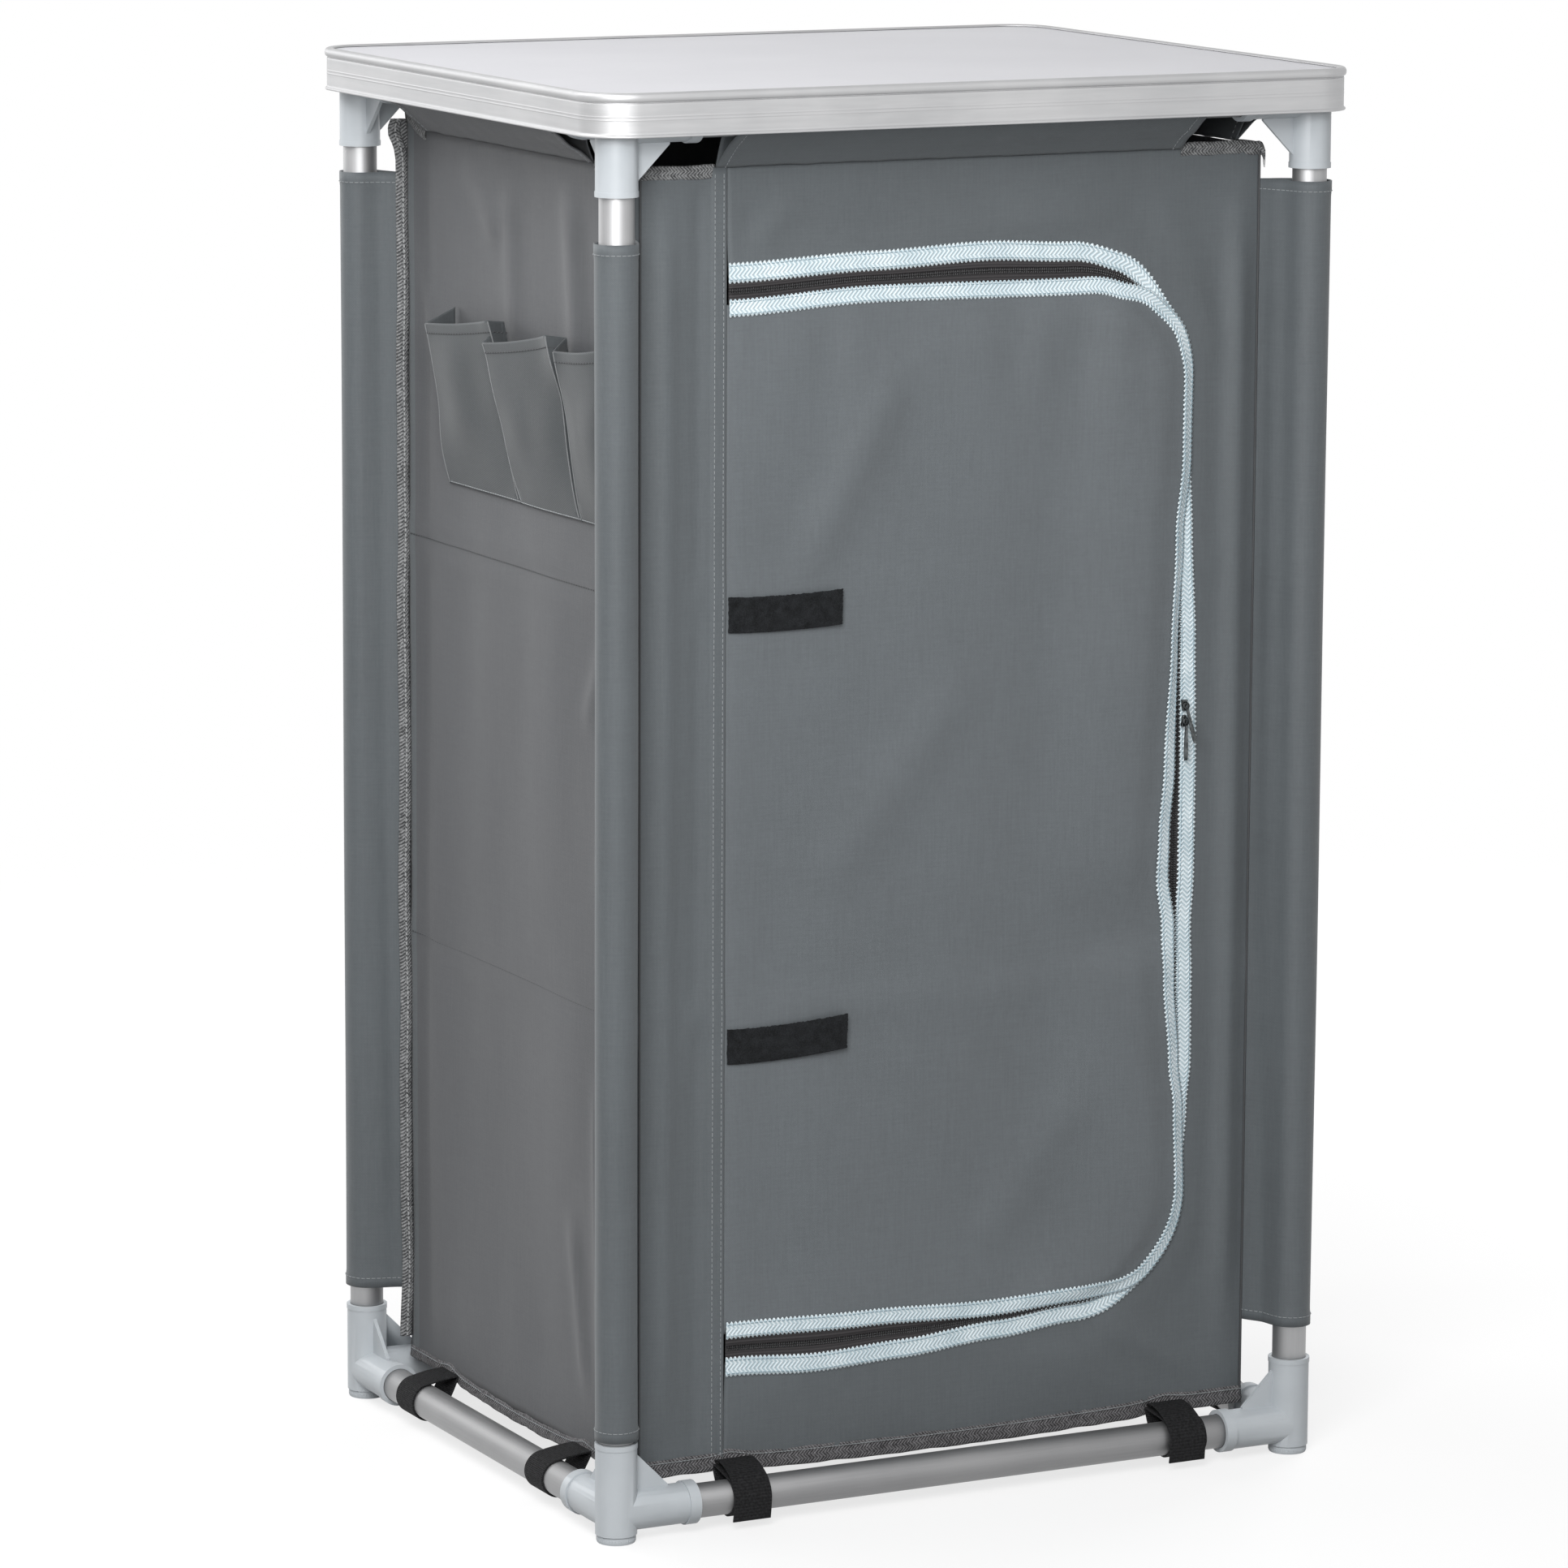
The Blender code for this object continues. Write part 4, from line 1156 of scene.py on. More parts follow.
def door_trim_place(u, v):
    """A point of the door's trim, which lies on the door and keeps the roll of its far side."""
    reach, roll = trim_reach(u)
    inside = (1.0 - v) * reach - looped(u, v)
    point = zip_spot(u, reading(door_edge_shares, u) - inside, 0)
    point.y -= max(door_stand(point.x, point.z), door_proud + roll * inside / reach)
    return point


loop_steps = int(zip_length / loop_pitch * 6)
for name, body, node, place, width in (
    ("doorway_trim", "frame", "zip_trim_frame", doorway_trim_place, trim_width),
    ("door_trim", "door", "zip_trim_door", door_trim_place, door_trim_width),
):
    bm = cloth_grid(loop_steps, 6, place, (zip_length, width))
    cut = area_of(bm) / zip_length
    trim = show(name, bm, trim_blue, body, [node], smooth_angle=80.0)
    thicken(trim, trim_thickness)
    for label, share in trim_rows.items():
        run = [place(step / 700, share) for step in range(701)]
        row = f"{name}_stitches_{label}"
        stitching(row, run, blue_thread, body, None, trim_stitch_pitch, trim_stitch_radius)


# Door ties
# Two short lengths of black hook tape, sewn in at the hinge strip to hold the door when it is
# rolled up. The nap makes their faces rough, and their free ends stand off the door.
tie_thickness = 0.0011
tie_ends = {"upper": (0.0010, 0.0024), "lower": (0.0038, 0.0034)}
tie_gap = 0.0003
nap_depth = 0.00045


def hook_tape_finish():
    finish = new_finish("hook_tape_black", (0.014, 0.014, 0.015), 0.92, specular=0.15, sheen=0.05)
    fuzz = speckle(finish, 1300.0, detail=3.0, roughness=0.8)
    tint = blended(finish, (fuzz, 0.7), (speckle(finish, 150.0, detail=2.0), 0.3))
    to_shader(
        finish,
        Colour=shade(finish, tint, (0.004, 0.0045, 0.005), (0.024, 0.026, 0.029), 0.4, 0.65),
        Normal=relief(finish, fuzz, 0.0005),
    )
    return finish


hook_black = hook_tape_finish()
for tier, (rise, lift) in tie_ends.items():
    low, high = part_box(f"tie_{tier}")

    def tie_place(u, v):
        x = low.x + (high.x - low.x) * u
        z = low.z + (high.z - low.z) * v + rise * u**2 - 0.0012 * math.sin(math.pi * u)
        rough = noise.noise((x * 900.0, z * 900.0, 3.0)) * nap_depth
        if min(u, v, 1 - u, 1 - v) < 0.001:
            z += rough * 0.7
            x += rough * 0.7 if u > 0.5 else 0.0
        stand = door_stand(x, z) + tie_gap + lift * u**2
        return Vector((x, -half_y - stand - tie_thickness * 0.5 - rough, z))

    bm = cloth_grid(150, 44, tie_place, (high.x - low.x, high.z - low.z))
    cut = area_of(bm) / (high.x - low.x)
    tie = show(f"{tier}_door_tie", bm, hook_black, f"{tier}_tie", [f"tie_{tier}"], 180.0)
    thicken(tie, tie_thickness * 0.8)


# Zip sliders and pulls
# Two small die-cast sliders in dark metal, back to back on the coil, each with a bridge that a flat
# pull hangs from by the eye at its end.
slider_depth = 0.0026
slider_share = 0.84
slider_nose_share = 0.62
slider_round = 0.0007
bridge_wire = 0.0006
bridge_half = 0.0030
bridge_rise = 0.0026
pull_width = 0.0034
pull_thickness = 0.0009
pull_round = 0.0002
eye_radius = 0.0021


def slider_finish():
    finish = new_finish("gunmetal", (0.06, 0.066, 0.068), 0.2, 0.9)
    clouds = speckle(finish, 220.0, detail=3.0)
    to_shader(
        finish,
        Colour=shade(finish, clouds, (0.03, 0.034, 0.035), (0.13, 0.14, 0.144), 0.35, 0.65),
        Roughness=spread(finish, clouds, 0.14, 0.28, 0.35, 0.65),
        Normal=relief(finish, clouds, 0.00003),
    )
    return finish


def take_in(bm, other):
    """Add the faces of another mesh to a mesh."""
    mesh = bpy.data.meshes.new("taken_in")
    other.to_mesh(mesh)
    other.free()
    bm.from_mesh(mesh)
    bpy.data.meshes.remove(mesh)


gunmetal = slider_finish()
across = Vector((1, 0, 0))
for tier, sign in (("upper", 1), ("lower", -1)):
    low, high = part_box(f"slider_{tier}")
    bm = block((slider_share * (high.x - low.x), slider_depth, slider_share * (high.z - low.z)))
    for vert in bm.verts:
        if vert.co.z * sign < 0:
            vert.co.x *= slider_nose_share
    face = high.y - slider_depth
    middle = ((low.x + high.x) / 2, high.y - slider_depth / 2, (low.z + high.z) / 2)
    bmesh.ops.translate(bm, vec=middle, verts=bm.verts)
    round_edges(bm, bm.edges[:], slider_round, 3)
    joint = next(joint for joint in frame["joints"] if joint["name"] == f"{tier}_pull_swing")
    pivot = Vector(joint["pos_m"])
    crown = pivot.y - bridge_rise
    arch = [
        (face + 0.0004, bridge_half), (face - 0.0012, bridge_half), (crown + 0.0004, 0.0020), (crown, 0.0),
        (crown + 0.0004, -0.0020), (face - 0.0012, -bridge_half), (face + 0.0004, -bridge_half),
    ]
    arch = measured([(pivot.x, y, pivot.z + rise) for y, rise in arch])
    take_in(bm, swept(arch, bridge_wire, 8, 3000, turn=across))
    bmesh.ops.recalc_face_normals(bm, faces=bm.faces)
    show(f"{tier}_zip_slider", bm, gunmetal, f"{tier}_slider", [f"slider_{tier}"])

    low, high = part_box(f"pull_{tier}")
    hang = (low + high) / 2 - pivot
    hang.x = 0.0
    reach = 2 * hang.length - 0.0006
    hang.normalize()
    normal = hang.cross(across)
    bm = block((1, 1, 1))
    bmesh.ops.subdivide_edges(bm, edges=upright_edges(bm), cuts=6)
    for vert in bm.verts:
        share = vert.co.z + 0.5
        wide = pull_width * (0.62 + 0.38 * ease(share * 1.3)) * (1.0 - 0.25 * ease((share - 0.85) / 0.15))
        along = eye_radius + (reach - eye_radius) * share
        vert.co = pivot + hang * along + across * vert.co.x * wide + normal * vert.co.y * pull_thickness
    bmesh.ops.recalc_face_normals(bm, faces=bm.faces)
    round_edges(bm, bm.edges[:], pull_round, 2)
    ring = []
    for step in range(33):
        angle = math.tau * step / 32
        ring.append(pivot + (hang * math.cos(angle) + across * math.sin(angle)) * eye_radius)
    take_in(bm, swept(measured(ring), pull_thickness * 0.6, 8, 2600, turn=normal))
    show(f"{tier}_zip_pull", bm, gunmetal, f"{tier}_pull", [f"pull_{tier}"])


# Pole sleeves
# A strip of the same cloth is folded round each leg and sewn to the cabinet's corner, so that it
# makes a tube with a flat fin. Its ends are turned in a hem with one row of stitching.
sleeve_radius = 0.0152
fin_half = 0.0006
hem_width = 0.0085
hem_step = 0.0005
hem_row = 0.0012
tip_depth = 0.0010
sleeve_sag = 0.0012
# A dark strand down each corner is painted shadow, for the shade in the gap between the sleeve's fin and
# the wall.
corner_shadow_strand = 0.0009
shadow_strand_proud = 0.0006
shadow_strand_inset = {"front_left": 0.0042, "front_right": 0.0010, "back_right": 0.0010, "back_left": 0.0010}


def loop_length(radius, reach):
    turn = math.acos(radius / reach)
    return 2 * math.sqrt(reach**2 - radius**2) + radius * (math.tau - 2 * turn)


def loop_point(share, radius, reach, sag):
    """A point of a loop that goes round a tube and closes in a fin: along the fin, and beside it."""
    turn = math.acos(radius / reach)
    straight = math.sqrt(reach**2 - radius**2)
    length = loop_length(radius, reach)
    distance = share * length
    if straight <= distance <= length - straight:
        angle = turn + (distance - straight) / radius
        return radius * math.cos(angle), radius * math.sin(angle)
    side = 1 if distance < straight else -1
    part = (distance if side > 0 else length - distance) / straight
    along = reach + (radius * math.cos(turn) - reach) * part
    beside = fin_half + (radius * math.sin(turn) - fin_half) * part - sag * math.sin(math.pi * part)
    return along, side * beside


def sleeve(name, centre, tip, axis, span, radius, sag, finish, node, seed, cells, puckers=0.0):
    """Cloth looped round a tube along an axis and closed at a tip."""
    reach = (tip - centre).length
    fin = (tip - centre) / reach
    beside = axis.cross(fin)
    length = loop_length(radius, reach)
    height = span[1] - span[0]

    def place(u, v):
        level = span[0] + height * v
        along, aside = loop_point(u, radius, reach, sag)
        out = fin * along + beside * aside
        near_tip = ease((along - radius) / (reach - radius))
        wander = (out.x * 40.0 + seed, out.y * 40.0 + out.z * 40.0, level * 2.5)
        fold = (0.0013 + 0.0036 * bump(along, radius * 1.5, radius * 0.6)) * noise.noise(wander)
        fold += puckers * near_tip * noise.noise((level * 55.0, seed, u * 2.0))
        ends = min(level - span[0], span[1] - level)
        fold += hem_step * (1.0 - ease((ends - hem_width) / hem_row))
        direction = (fin * (along * 0.3) + beside * aside).normalized()
        return centre + axis * level + out + direction * fold * (1.0 - 0.6 * near_tip)

    def outward(spot):
        aside = spot - centre
        return (aside - axis * aside.dot(axis)).normalized()

    bm = cloth_grid(*cells, place, (length, height))
    cut = area_of(bm) / height
    piece = show(name, bm, finish, "frame", [node], smooth_angle=80.0)
    thicken(piece, cloth_thickness)
    row = (hem_width - hem_row) / height
    for label, level in (("start", row), ("end", 1.0 - row)):
        run = [place(step / 90, level) for step in range(91)]
        stitching(f"{name}_stitches_{label}", run, grey_thread, "frame", outward)


upwards = Vector((0, 0, 1))
for seed, (corner, (x, y)) in enumerate(corners.items()):
    low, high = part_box(f"sleeve_{corner}")
    leg_low, leg_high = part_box(f"leg_{corner}")
    middle = (leg_low + leg_high) / 2
    centre = Vector((middle.x, middle.y, 0.0))
    tip = Vector((x - math.copysign(tip_depth, x), y - math.copysign(tip_depth, y), 0.0))
    sleeve(
        f"pole_sleeve_{corner}", centre, tip, upwards, (low.z, high.z), sleeve_radius, sleeve_sag,
        front_cloth, f"sleeve_{corner}", seed * 5.0, (60, 150),
    )
    # The dark strand in front of the corner is painted shadow, not a seam: it stands for the shade between
    # the fin and the wall.
    spot = Vector((x - math.copysign(shadow_strand_inset[corner], x), y + math.copysign(shadow_strand_proud, y), 0.0))
    line = [spot + upwards * level for level in (base_level + row_margin, 0.5, top_level - row_margin)]
    bm = swept(measured(line), corner_shadow_strand, 8, 60, turn=Vector((math.copysign(1, x), 0, 0)))
    show(f"corner_shadow_strand_{corner}", bm, dark_thread_and_shadow, "frame", smooth_angle=80.0)


# Top flaps
# Four flaps of cloth are sewn to the cabinet's top edge, and each loops over an upper rail to hang
# the cabinet from the frame.
flap_radius = 0.0142
flap_sag = 0.0015
flap_proud = 0.0010
flap_pucker = 0.0022
outwards = {
    "front": Vector((0, -1, 0)), "back": Vector((0, 1, 0)),
    "left": Vector((-1, 0, 0)), "right": Vector((1, 0, 0)),
}
for side, out in outwards.items():
    axis = upwards.cross(out)
    low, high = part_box(f"top_flap_{side}")
    rail_low, rail_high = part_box(f"upper_rail_{side}")
    rail = (rail_low + rail_high) / 2
    ends = sorted((axis.dot(low), axis.dot(high)))
    centre = out * rail.dot(out) + upwards * rail.z
    tip = out * ((half_y if out.y else half_x) + flap_proud) + upwards * low.z
    sleeve(
        f"rail_flap_{side}", centre, tip, axis, ends, flap_radius, flap_sag,
        side_cloth if side == "left" else front_cloth, f"top_flap_{side}",
        31.0 + rail.x, (56, 110), flap_pucker,
    )


# Cutlery pockets
# One strip of cloth sewn over the left wall in three bellows pockets. Its top is hemmed, and each
# pleat stands off the wall at the top and lies flat at the bottom seam.
pocket_low, pocket_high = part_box("pocket_row")
pocket_foot = pocket_low.z + 0.004
fold_edge = 0.0005
fold_cells = 16
# Y, stand off the wall and Z of each fold at the top, and its Y at the bottom, in millimetres.
pocket_folds = (
    (106.0, 1.6, 847.0, 113.5), (110.5, 24.0, 836.0, 112.5), (8.0, 18.5, 848.0, -8.0),
    (11.5, 3.5, 846.0, -10.0), (9.0, 24.0, 832.0, -15.0), (-93.5, 18.5, 848.0, -111.0),
    (-99.0, 3.5, 846.0, -112.5), (-114.0, 24.0, 839.0, -115.0), (-186.0, 22.0, 847.0, -188.5),
    (-190.5, 1.6, 848.0, -190.5),
)
pocket_faces = (1, 4, 7)
sharp_folds = (1, 2, 4, 5, 7, 8)


def pocket_place(u, v):
    position = u * (len(pocket_folds) - 1)
    index = min(int(position), len(pocket_folds) - 2)
    part = position - index
    before, after = pocket_folds[index], pocket_folds[index + 1]
    y, stand, top, base = ((a + (b - a) * part) / 1000.0 for a, b in zip(before, after))
    drawn = v**0.85
    z = pocket_foot + (top - pocket_foot) * v
    loose_fold = ease((stand - 0.004) / 0.012)
    sway = 0.0036 * math.sin(math.tau * v * 0.8 + 0.6) * (1.0 - v * 0.6)
    along = base + (y - base) * drawn + sway * loose_fold
    hollow = 0.0034 * noise.noise((along * 22.0, z * 18.0, 9.0)) * math.sin(math.pi * min(1.0, v * 1.02))
    middle = math.sin(math.pi * part) if index in pocket_faces else 0.0
    belly = 0.0040 * middle * math.sin(math.pi * v * 0.84) ** 0.8 - 0.0010 * middle * v**3
    off = 0.0014 + (stand - 0.0014) * drawn + (hollow + belly) * loose_fold
    z -= 0.0014 * middle * v**3
    off += 0.00016 * ease((v - 0.936) / 0.016) * (1.0 + 0.5 * noise.noise((along * 300.0, z * 200.0, 1.0)))
    return Vector((-half_x - off - left_stand(half_y - along, z), along, z))


pocket_length = sum(
    math.dist(before[:2], after[:2]) for before, after in zip(pocket_folds, pocket_folds[1:])
) / 1000.0
pocket_rise = pocket_high.z - pocket_foot
bm = cloth_grid((len(pocket_folds) - 1) * fold_cells, 70, pocket_place, (pocket_length, pocket_rise))
pocket_area = area_of(bm)
pocket_cloth = coated_cloth("cloth_of_the_pockets", 0.060, (0.90, 1.0, 1.07), 0.28)
pockets = show("cutlery_pockets", bm, pocket_cloth, "frame", ["pocket_row"], smooth_angle=32.0)
thicken(pockets, cloth_thickness * 0.8)
# A thin strand of much lighter cloth along each sharp fold: partly wear on the crease, partly painted
# highlight where the fold catches the light.
fold_wear_and_highlight = coated_cloth("cloth_on_folds", 0.19, (0.96, 1.0, 1.03))
for index in sharp_folds:
    share = index / (len(pocket_folds) - 1)
    edge = [pocket_place(share, 0.02 + 0.975 * step / 60) for step in range(61)]
    bm = swept(measured(edge), fold_edge, 6, 500, turn=Vector((-1, 0, 0)))
    show(f"pocket_fold_{index}", bm, fold_wear_and_highlight, "frame", smooth_angle=80.0)
for label, level, pitch, thread in (
    ("hem", 0.938, 0.0042, dark_thread_and_shadow), ("foot", 0.012, 0.0040, grey_thread),
):
    run = [pocket_place(step / 600, level) + Vector((-0.0001, 0, 0)) for step in range(601)]
    stitching(f"pocket_stitches_{label}", run, thread, "frame", Vector((-1, 0, 0)), pitch, 0.0004)


# Bound edges
# The raw edges at the top, the bottom and the back corners are oversewn and bound with a soft
# woven tape folded over them, which hangs a little between the straps.
wrap_pitch = 0.0026
tape_half = 0.0012
fin_half_width = 0.0021
bottom_tape = 0.0120
side_tape = 0.0085
top_tape = 0.0085
binding_thickness = 0.0004
binding_pitch = 0.0030
# How much of the tape's width lies on each side of the edge; the rest goes round it.
leaf_share = 0.42
# The end of the front's binding falls over the corner.
ear_fall = ((0.0015, -0.0002, -0.0014), (0.0026, -0.0006, -0.0050), (0.0022, -0.0010, -0.0105))
fin_width = 0.0064
ear_flare = 0.0060
chain_pitch = 0.0038
chain_radius = 0.0008


def overlock_finish(name, dark, light):
    """Thread wrapped over tape: slanted wraps with a rough, speckled face."""
    finish = new_finish(name, light, 0.75, specular=0.3, sheen=0.1)
    along, across = flat_measure(finish)
    column = figure(finish, "PINGPONG", across, wrap_pitch * 1.2)
    wraps = waves(finish, blended(finish, (along, 1.0), (column, 1.0)), wrap_pitch)
    fuzz = speckle(finish, 380.0, detail=4.0, roughness=0.8)
    clouds = speckle(finish, 90.0, detail=3.0)
    tint = blended(finish, (wraps, 0.10), (fuzz, 0.8), (clouds, 0.2))
    to_shader(
        finish,
        Colour=shade(finish, tint, dark, light, 0.38, 0.62),
        Normal=relief(finish, blended(finish, (wraps, 0.5), (fuzz, 1.0)), 0.0007),
    )
    return finish


def bound_edge(name, points, into, out, width, finish, half=tape_half, flutter=0.0, flare=None):
    """Tape folded over an edge: into points from the edge into the cloth, and out off its face."""
    flare = flare or (lambda distance: 0.0)
    line = measured(points)
    length = line[1][-1]

    def place(u, v):
        distance = length * u
        spot = point_along(line, distance)
        wide = width + flare(distance) + 0.0008 * noise.noise((distance * 45.0, v * 0.5, len(name)))
        ripple = 0.0004 * noise.noise((distance * 160.0, v * 6.0, 2.0 + len(name)))
        spot = spot + out * flutter * noise.noise((distance * 70.0, 3.0, len(name)))
        spot = spot + into * flutter * 0.7 * noise.noise((distance * 40.0, 8.0, len(name)))
        if leaf_share < v < 1.0 - leaf_share:
            angle = math.pi * (v - leaf_share) / (1.0 - 2 * leaf_share)
            return spot - into * half * math.sin(angle) - out * (half * math.cos(angle) - ripple)
        side = -1 if v < 0.5 else 1
        part = 1.0 - min(v, 1.0 - v) / leaf_share
        swell = half * (1.0 - 0.6 * part**2)
        return spot + into * wide * part + out * (side * swell + ripple)

    bm = cloth_grid(max(16, int(length * 420)), 18, place, (length, 2 * width + math.pi * half))
    cut = area_of(bm) / length
    piece = show(name, bm, finish, "frame", smooth_angle=80.0)
    thicken(piece, binding_thickness)


dark_tape = overlock_finish("bound_edge_dark", (0.030, 0.029, 0.031), (0.200, 0.195, 0.203))
light_tape = overlock_finish("bound_edge_light", (0.055, 0.057, 0.059), (0.33, 0.335, 0.34))
sewn_to = {
    "front": ["hinge_strip", "doorway_front"], "right": ["right_wall"], "back": ["back_wall"],
    "left": ["left_wall"],
}
bottom_straps = {side: [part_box(f"base_strap_{side}_{label}") for label in ("a", "b")] for side in sewn_to}
for side, start, end, tape, droop in (
    ("front", "front_left", "front_right", bottom_tape, 0.0045),
    ("right", "front_right", "back_right", side_tape, 0.0040),
    ("back", "back_right", "back_left", bottom_tape, 0.0045),
    ("left", "back_left", "front_left", side_tape, 0.0050),
):
    out = outwards[side]
    start, end = Vector((*corners[start], base_level)), Vector((*corners[end], base_level))
    along = (end - start).normalized()
    spots = sorted(along.dot((low + high) / 2) for low, high in bottom_straps[side])
    points = []
    for step in range(121):
        spot = start.lerp(end, step / 120)
        place = along.dot(spot)
        hang = droop * 0.3
        if spots[0] < place < spots[1]:
            hang += droop * math.sin(math.pi * (place - spots[0]) / (spots[1] - spots[0])) ** 0.55
        hang -= droop * 0.5 * sum(bump(place, spot_of, 0.014) for spot_of in spots)
        points.append(spot - upwards * hang)
    name = f"bottom_binding_{side}"
    bound_edge(name, points, upwards, out, tape, dark_tape, flutter=0.0012)
    run = [point + out * (tape_half + 0.0001) + upwards * (tape - 0.002) for point in points]
    stitching(f"bottom_stitches_{side}", run, grey_thread, "frame", out, binding_pitch)

    flap_low, flap_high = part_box(f"top_flap_{side}")
    ends = sorted((along.dot(flap_low), along.dot(flap_high)))
    for label, first, last in (
        ("start", along.dot(start), ends[0]), ("end", ends[1], along.dot(end)),
    ):
        across = start - along * along.dot(start)
        raised = []
        for step in range(25):
            travel = (last - first) * step / 24
            lift = top_level - base_level + 0.001
            if side == "left" and label == "start":
                lift += left_crest(travel) + 0.001
            if side == "front" and label == "end":
                lift += 0.0018
            raised.append(across + along * (first + travel) + upwards * lift)
        if side == "front" and label == "end":
            raised += [raised[-1] + Vector(hang) for hang in ear_fall]
        name = f"top_binding_{side}_{label}"
        bound_edge(name, raised, -upwards, -out, top_tape, light_tape, flutter=0.0018)


chain_thread = thread_finish("chain_thread", (0.36, 0.365, 0.37))
for corner, direction in (("back_left", (-1.0, 0.12, 0)), ("back_right", (1.0, 0.12, 0))):
    x, y = corners[corner]
    direction = Vector(direction).normalized()
    points = []
    for step in range(161):
        z = base_level + 0.014 + (top_level - base_level - 0.008) * step / 160
        waver = Vector((0, 0.0030 * noise.noise((z * 11.0, 1.0, x)), 0))
        reach = fin_width + 0.0016 * noise.noise((z * 14.0, 4.0, x))
        waver += direction * ear_flare * bump(z, top_level - 0.002, 0.011)
        points.append(Vector((x, y - 0.0012, z)) + direction * reach + waver)
    bound_edge(
        f"corner_binding_{corner}", points, -direction, Vector((0, -1, 0)), fin_width, light_tape,
        fin_half_width,
        flare=lambda distance: ear_flare * bump(distance, top_level - base_level - 0.016, 0.011),
    )
    for label, offset in (("front", -1.0), ("back", 1.0)):
        run = [point - direction * 0.0022 + Vector((0, offset * fin_half_width, 0)) for point in points]
        face = Vector((0, offset, 0))
        for row, thread in (("chain", chain_thread), ("core", dark_thread_and_shadow)):
            inset = 0.0 if row == "chain" else 0.0036
            placed = [point - direction * inset for point in run]
            stitching(
                f"corner_{row}_{corner}_{label}", placed, thread, "frame", face, chain_pitch,
                chain_radius if row == "chain" else thread_radius * 1.6,
            )


# Base straps
# Black woven straps sewn under the wall's lower edge loop round the bottom rails. The front ones
# are closed with an outer layer whose end hangs over the rail.
strap_thickness = 0.0013
strap_edge = 0.0002
strap_radius = 0.0142
strap_rib = 0.0014
strap_yarn = 0.0011
strap_skew = {"a": 0.0022, "b": -0.0014}
tail_skew = {"a": 0.0035, "b": 0.0014}


def strap_finish():
    finish = new_finish("black_webbing", (0.010, 0.010, 0.011), 0.82, specular=0.18)
    along, across = flat_measure(finish)
    ribs = waves(finish, along, strap_rib)
    height = blended(finish, (ribs, 1.0), (waves(finish, across, strap_yarn), 0.6))
    tint = blended(finish, (height, 0.12), (speckle(finish, 600.0, detail=3.0), 1.0))
    to_shader(
        finish,
        Colour=shade(finish, tint, (0.005, 0.005, 0.0055), (0.034, 0.034, 0.036), 0.3, 0.75),
        Normal=relief(finish, height, 0.00022),
    )
    return finish


def rounded(points, steps=14):
    """A smooth line through points."""
    points = [Vector(point) for point in points]
    line = []
    for index in range(len(points) - 1):
        before = points[max(0, index - 1)]
        start, end = points[index], points[index + 1]
        after = points[min(len(points) - 1, index + 2)]
        for step in range(steps):
            t = step / steps
            line.append(
                0.5 * (2 * start + (end - before) * t + (2 * before - 5 * start + 4 * end - after) * t**2
                       + (3 * start - 3 * end + after - before) * t**3)
            )
    return line + [points[-1]]


strap_black = strap_finish()


def strap_piece(name, bm, length, nodes=()):
    """A length of strap of its real thickness, with soft edges."""
    cut = area_of(bm) / length
    strap = show(name, bm, strap_black, "frame", nodes, smooth_angle=80.0)
    soften(thicken(strap, strap_thickness), strap_edge, 1, 60.0)


for side, out in outwards.items():
    rail_low, rail_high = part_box(f"lower_rail_{side}")
    rail = (rail_low + rail_high) / 2
    axis = out.cross(upwards)
    for label, (low, high) in zip("ab", bottom_straps[side]):
        node = f"base_strap_{side}_{label}"
        ends = sorted((axis.dot(low), axis.dot(high)))
        centre = out * rail.dot(out) + upwards * rail.z
        tip = out * ((half_y if out.y else half_x) + 0.0006) + upwards * (base_level + 0.0030)
        reach = (tip - centre).length
        fin = (tip - centre) / reach
        beside = axis.cross(fin)

        def strap_place(u, v):
            along, aside = loop_point(u, strap_radius, reach, -0.0008)
            level = ends[0] + (ends[1] - ends[0]) * v
            sway = 0.0005 * noise.noise((u * 9.0, level * 8.0, rail.x))
            level += strap_skew[label] * math.sin(math.pi * u) + sway
            return centre + axis * level + fin * along + beside * aside

        length = loop_length(strap_radius, reach)
        bm = cloth_grid(80, 24, strap_place, (length, ends[1] - ends[0]))
        strap_piece(f"{node}_loop", bm, length, [node])
        if side != "front":
            continue
        top = base_level + 0.0055
        tail = measured(rounded([
            (half_y + 0.0018, top - 0.0005), (half_y + 0.008, top + 0.0012), (half_y + 0.020, top - 0.0006),
            (half_y + 0.0335, top - 0.0068), (half_y + 0.0405, rail.z + 0.004),
            (half_y + 0.0412, rail.z - 0.006), (half_y + 0.0405, low.z + 0.0008),
        ]))
        length = tail[1][-1]

        def tail_place(u, v):
            spot = point_along(tail, length * v)
            level = ends[1] + (ends[0] - ends[1]) * u + tail_skew[label] * v
            level -= (1 - 2 * u) * 0.0012 * (1 - v)
            return axis * level + out * spot.x + upwards * spot.y

        bm = cloth_grid(20, 70, tail_place, (length, ends[1] - ends[0]))
        strap_piece(f"{node}_tail", bm, length)


# Tabletop
# A board faced with pale laminate lies in a rim of extruded aluminium, bent round the corners. The
# rim has a rounded lip over the board's edge, two fine ribs on its face and a small flare below.
board_low, board_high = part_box("tabletop_board")
rim_low, rim_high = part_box("tabletop_rim")
rim_corner = 0.035
board_corner = rim_corner - (rim_high.x - board_high.x)
board_edge = 0.0004
rim_girth = 0.1
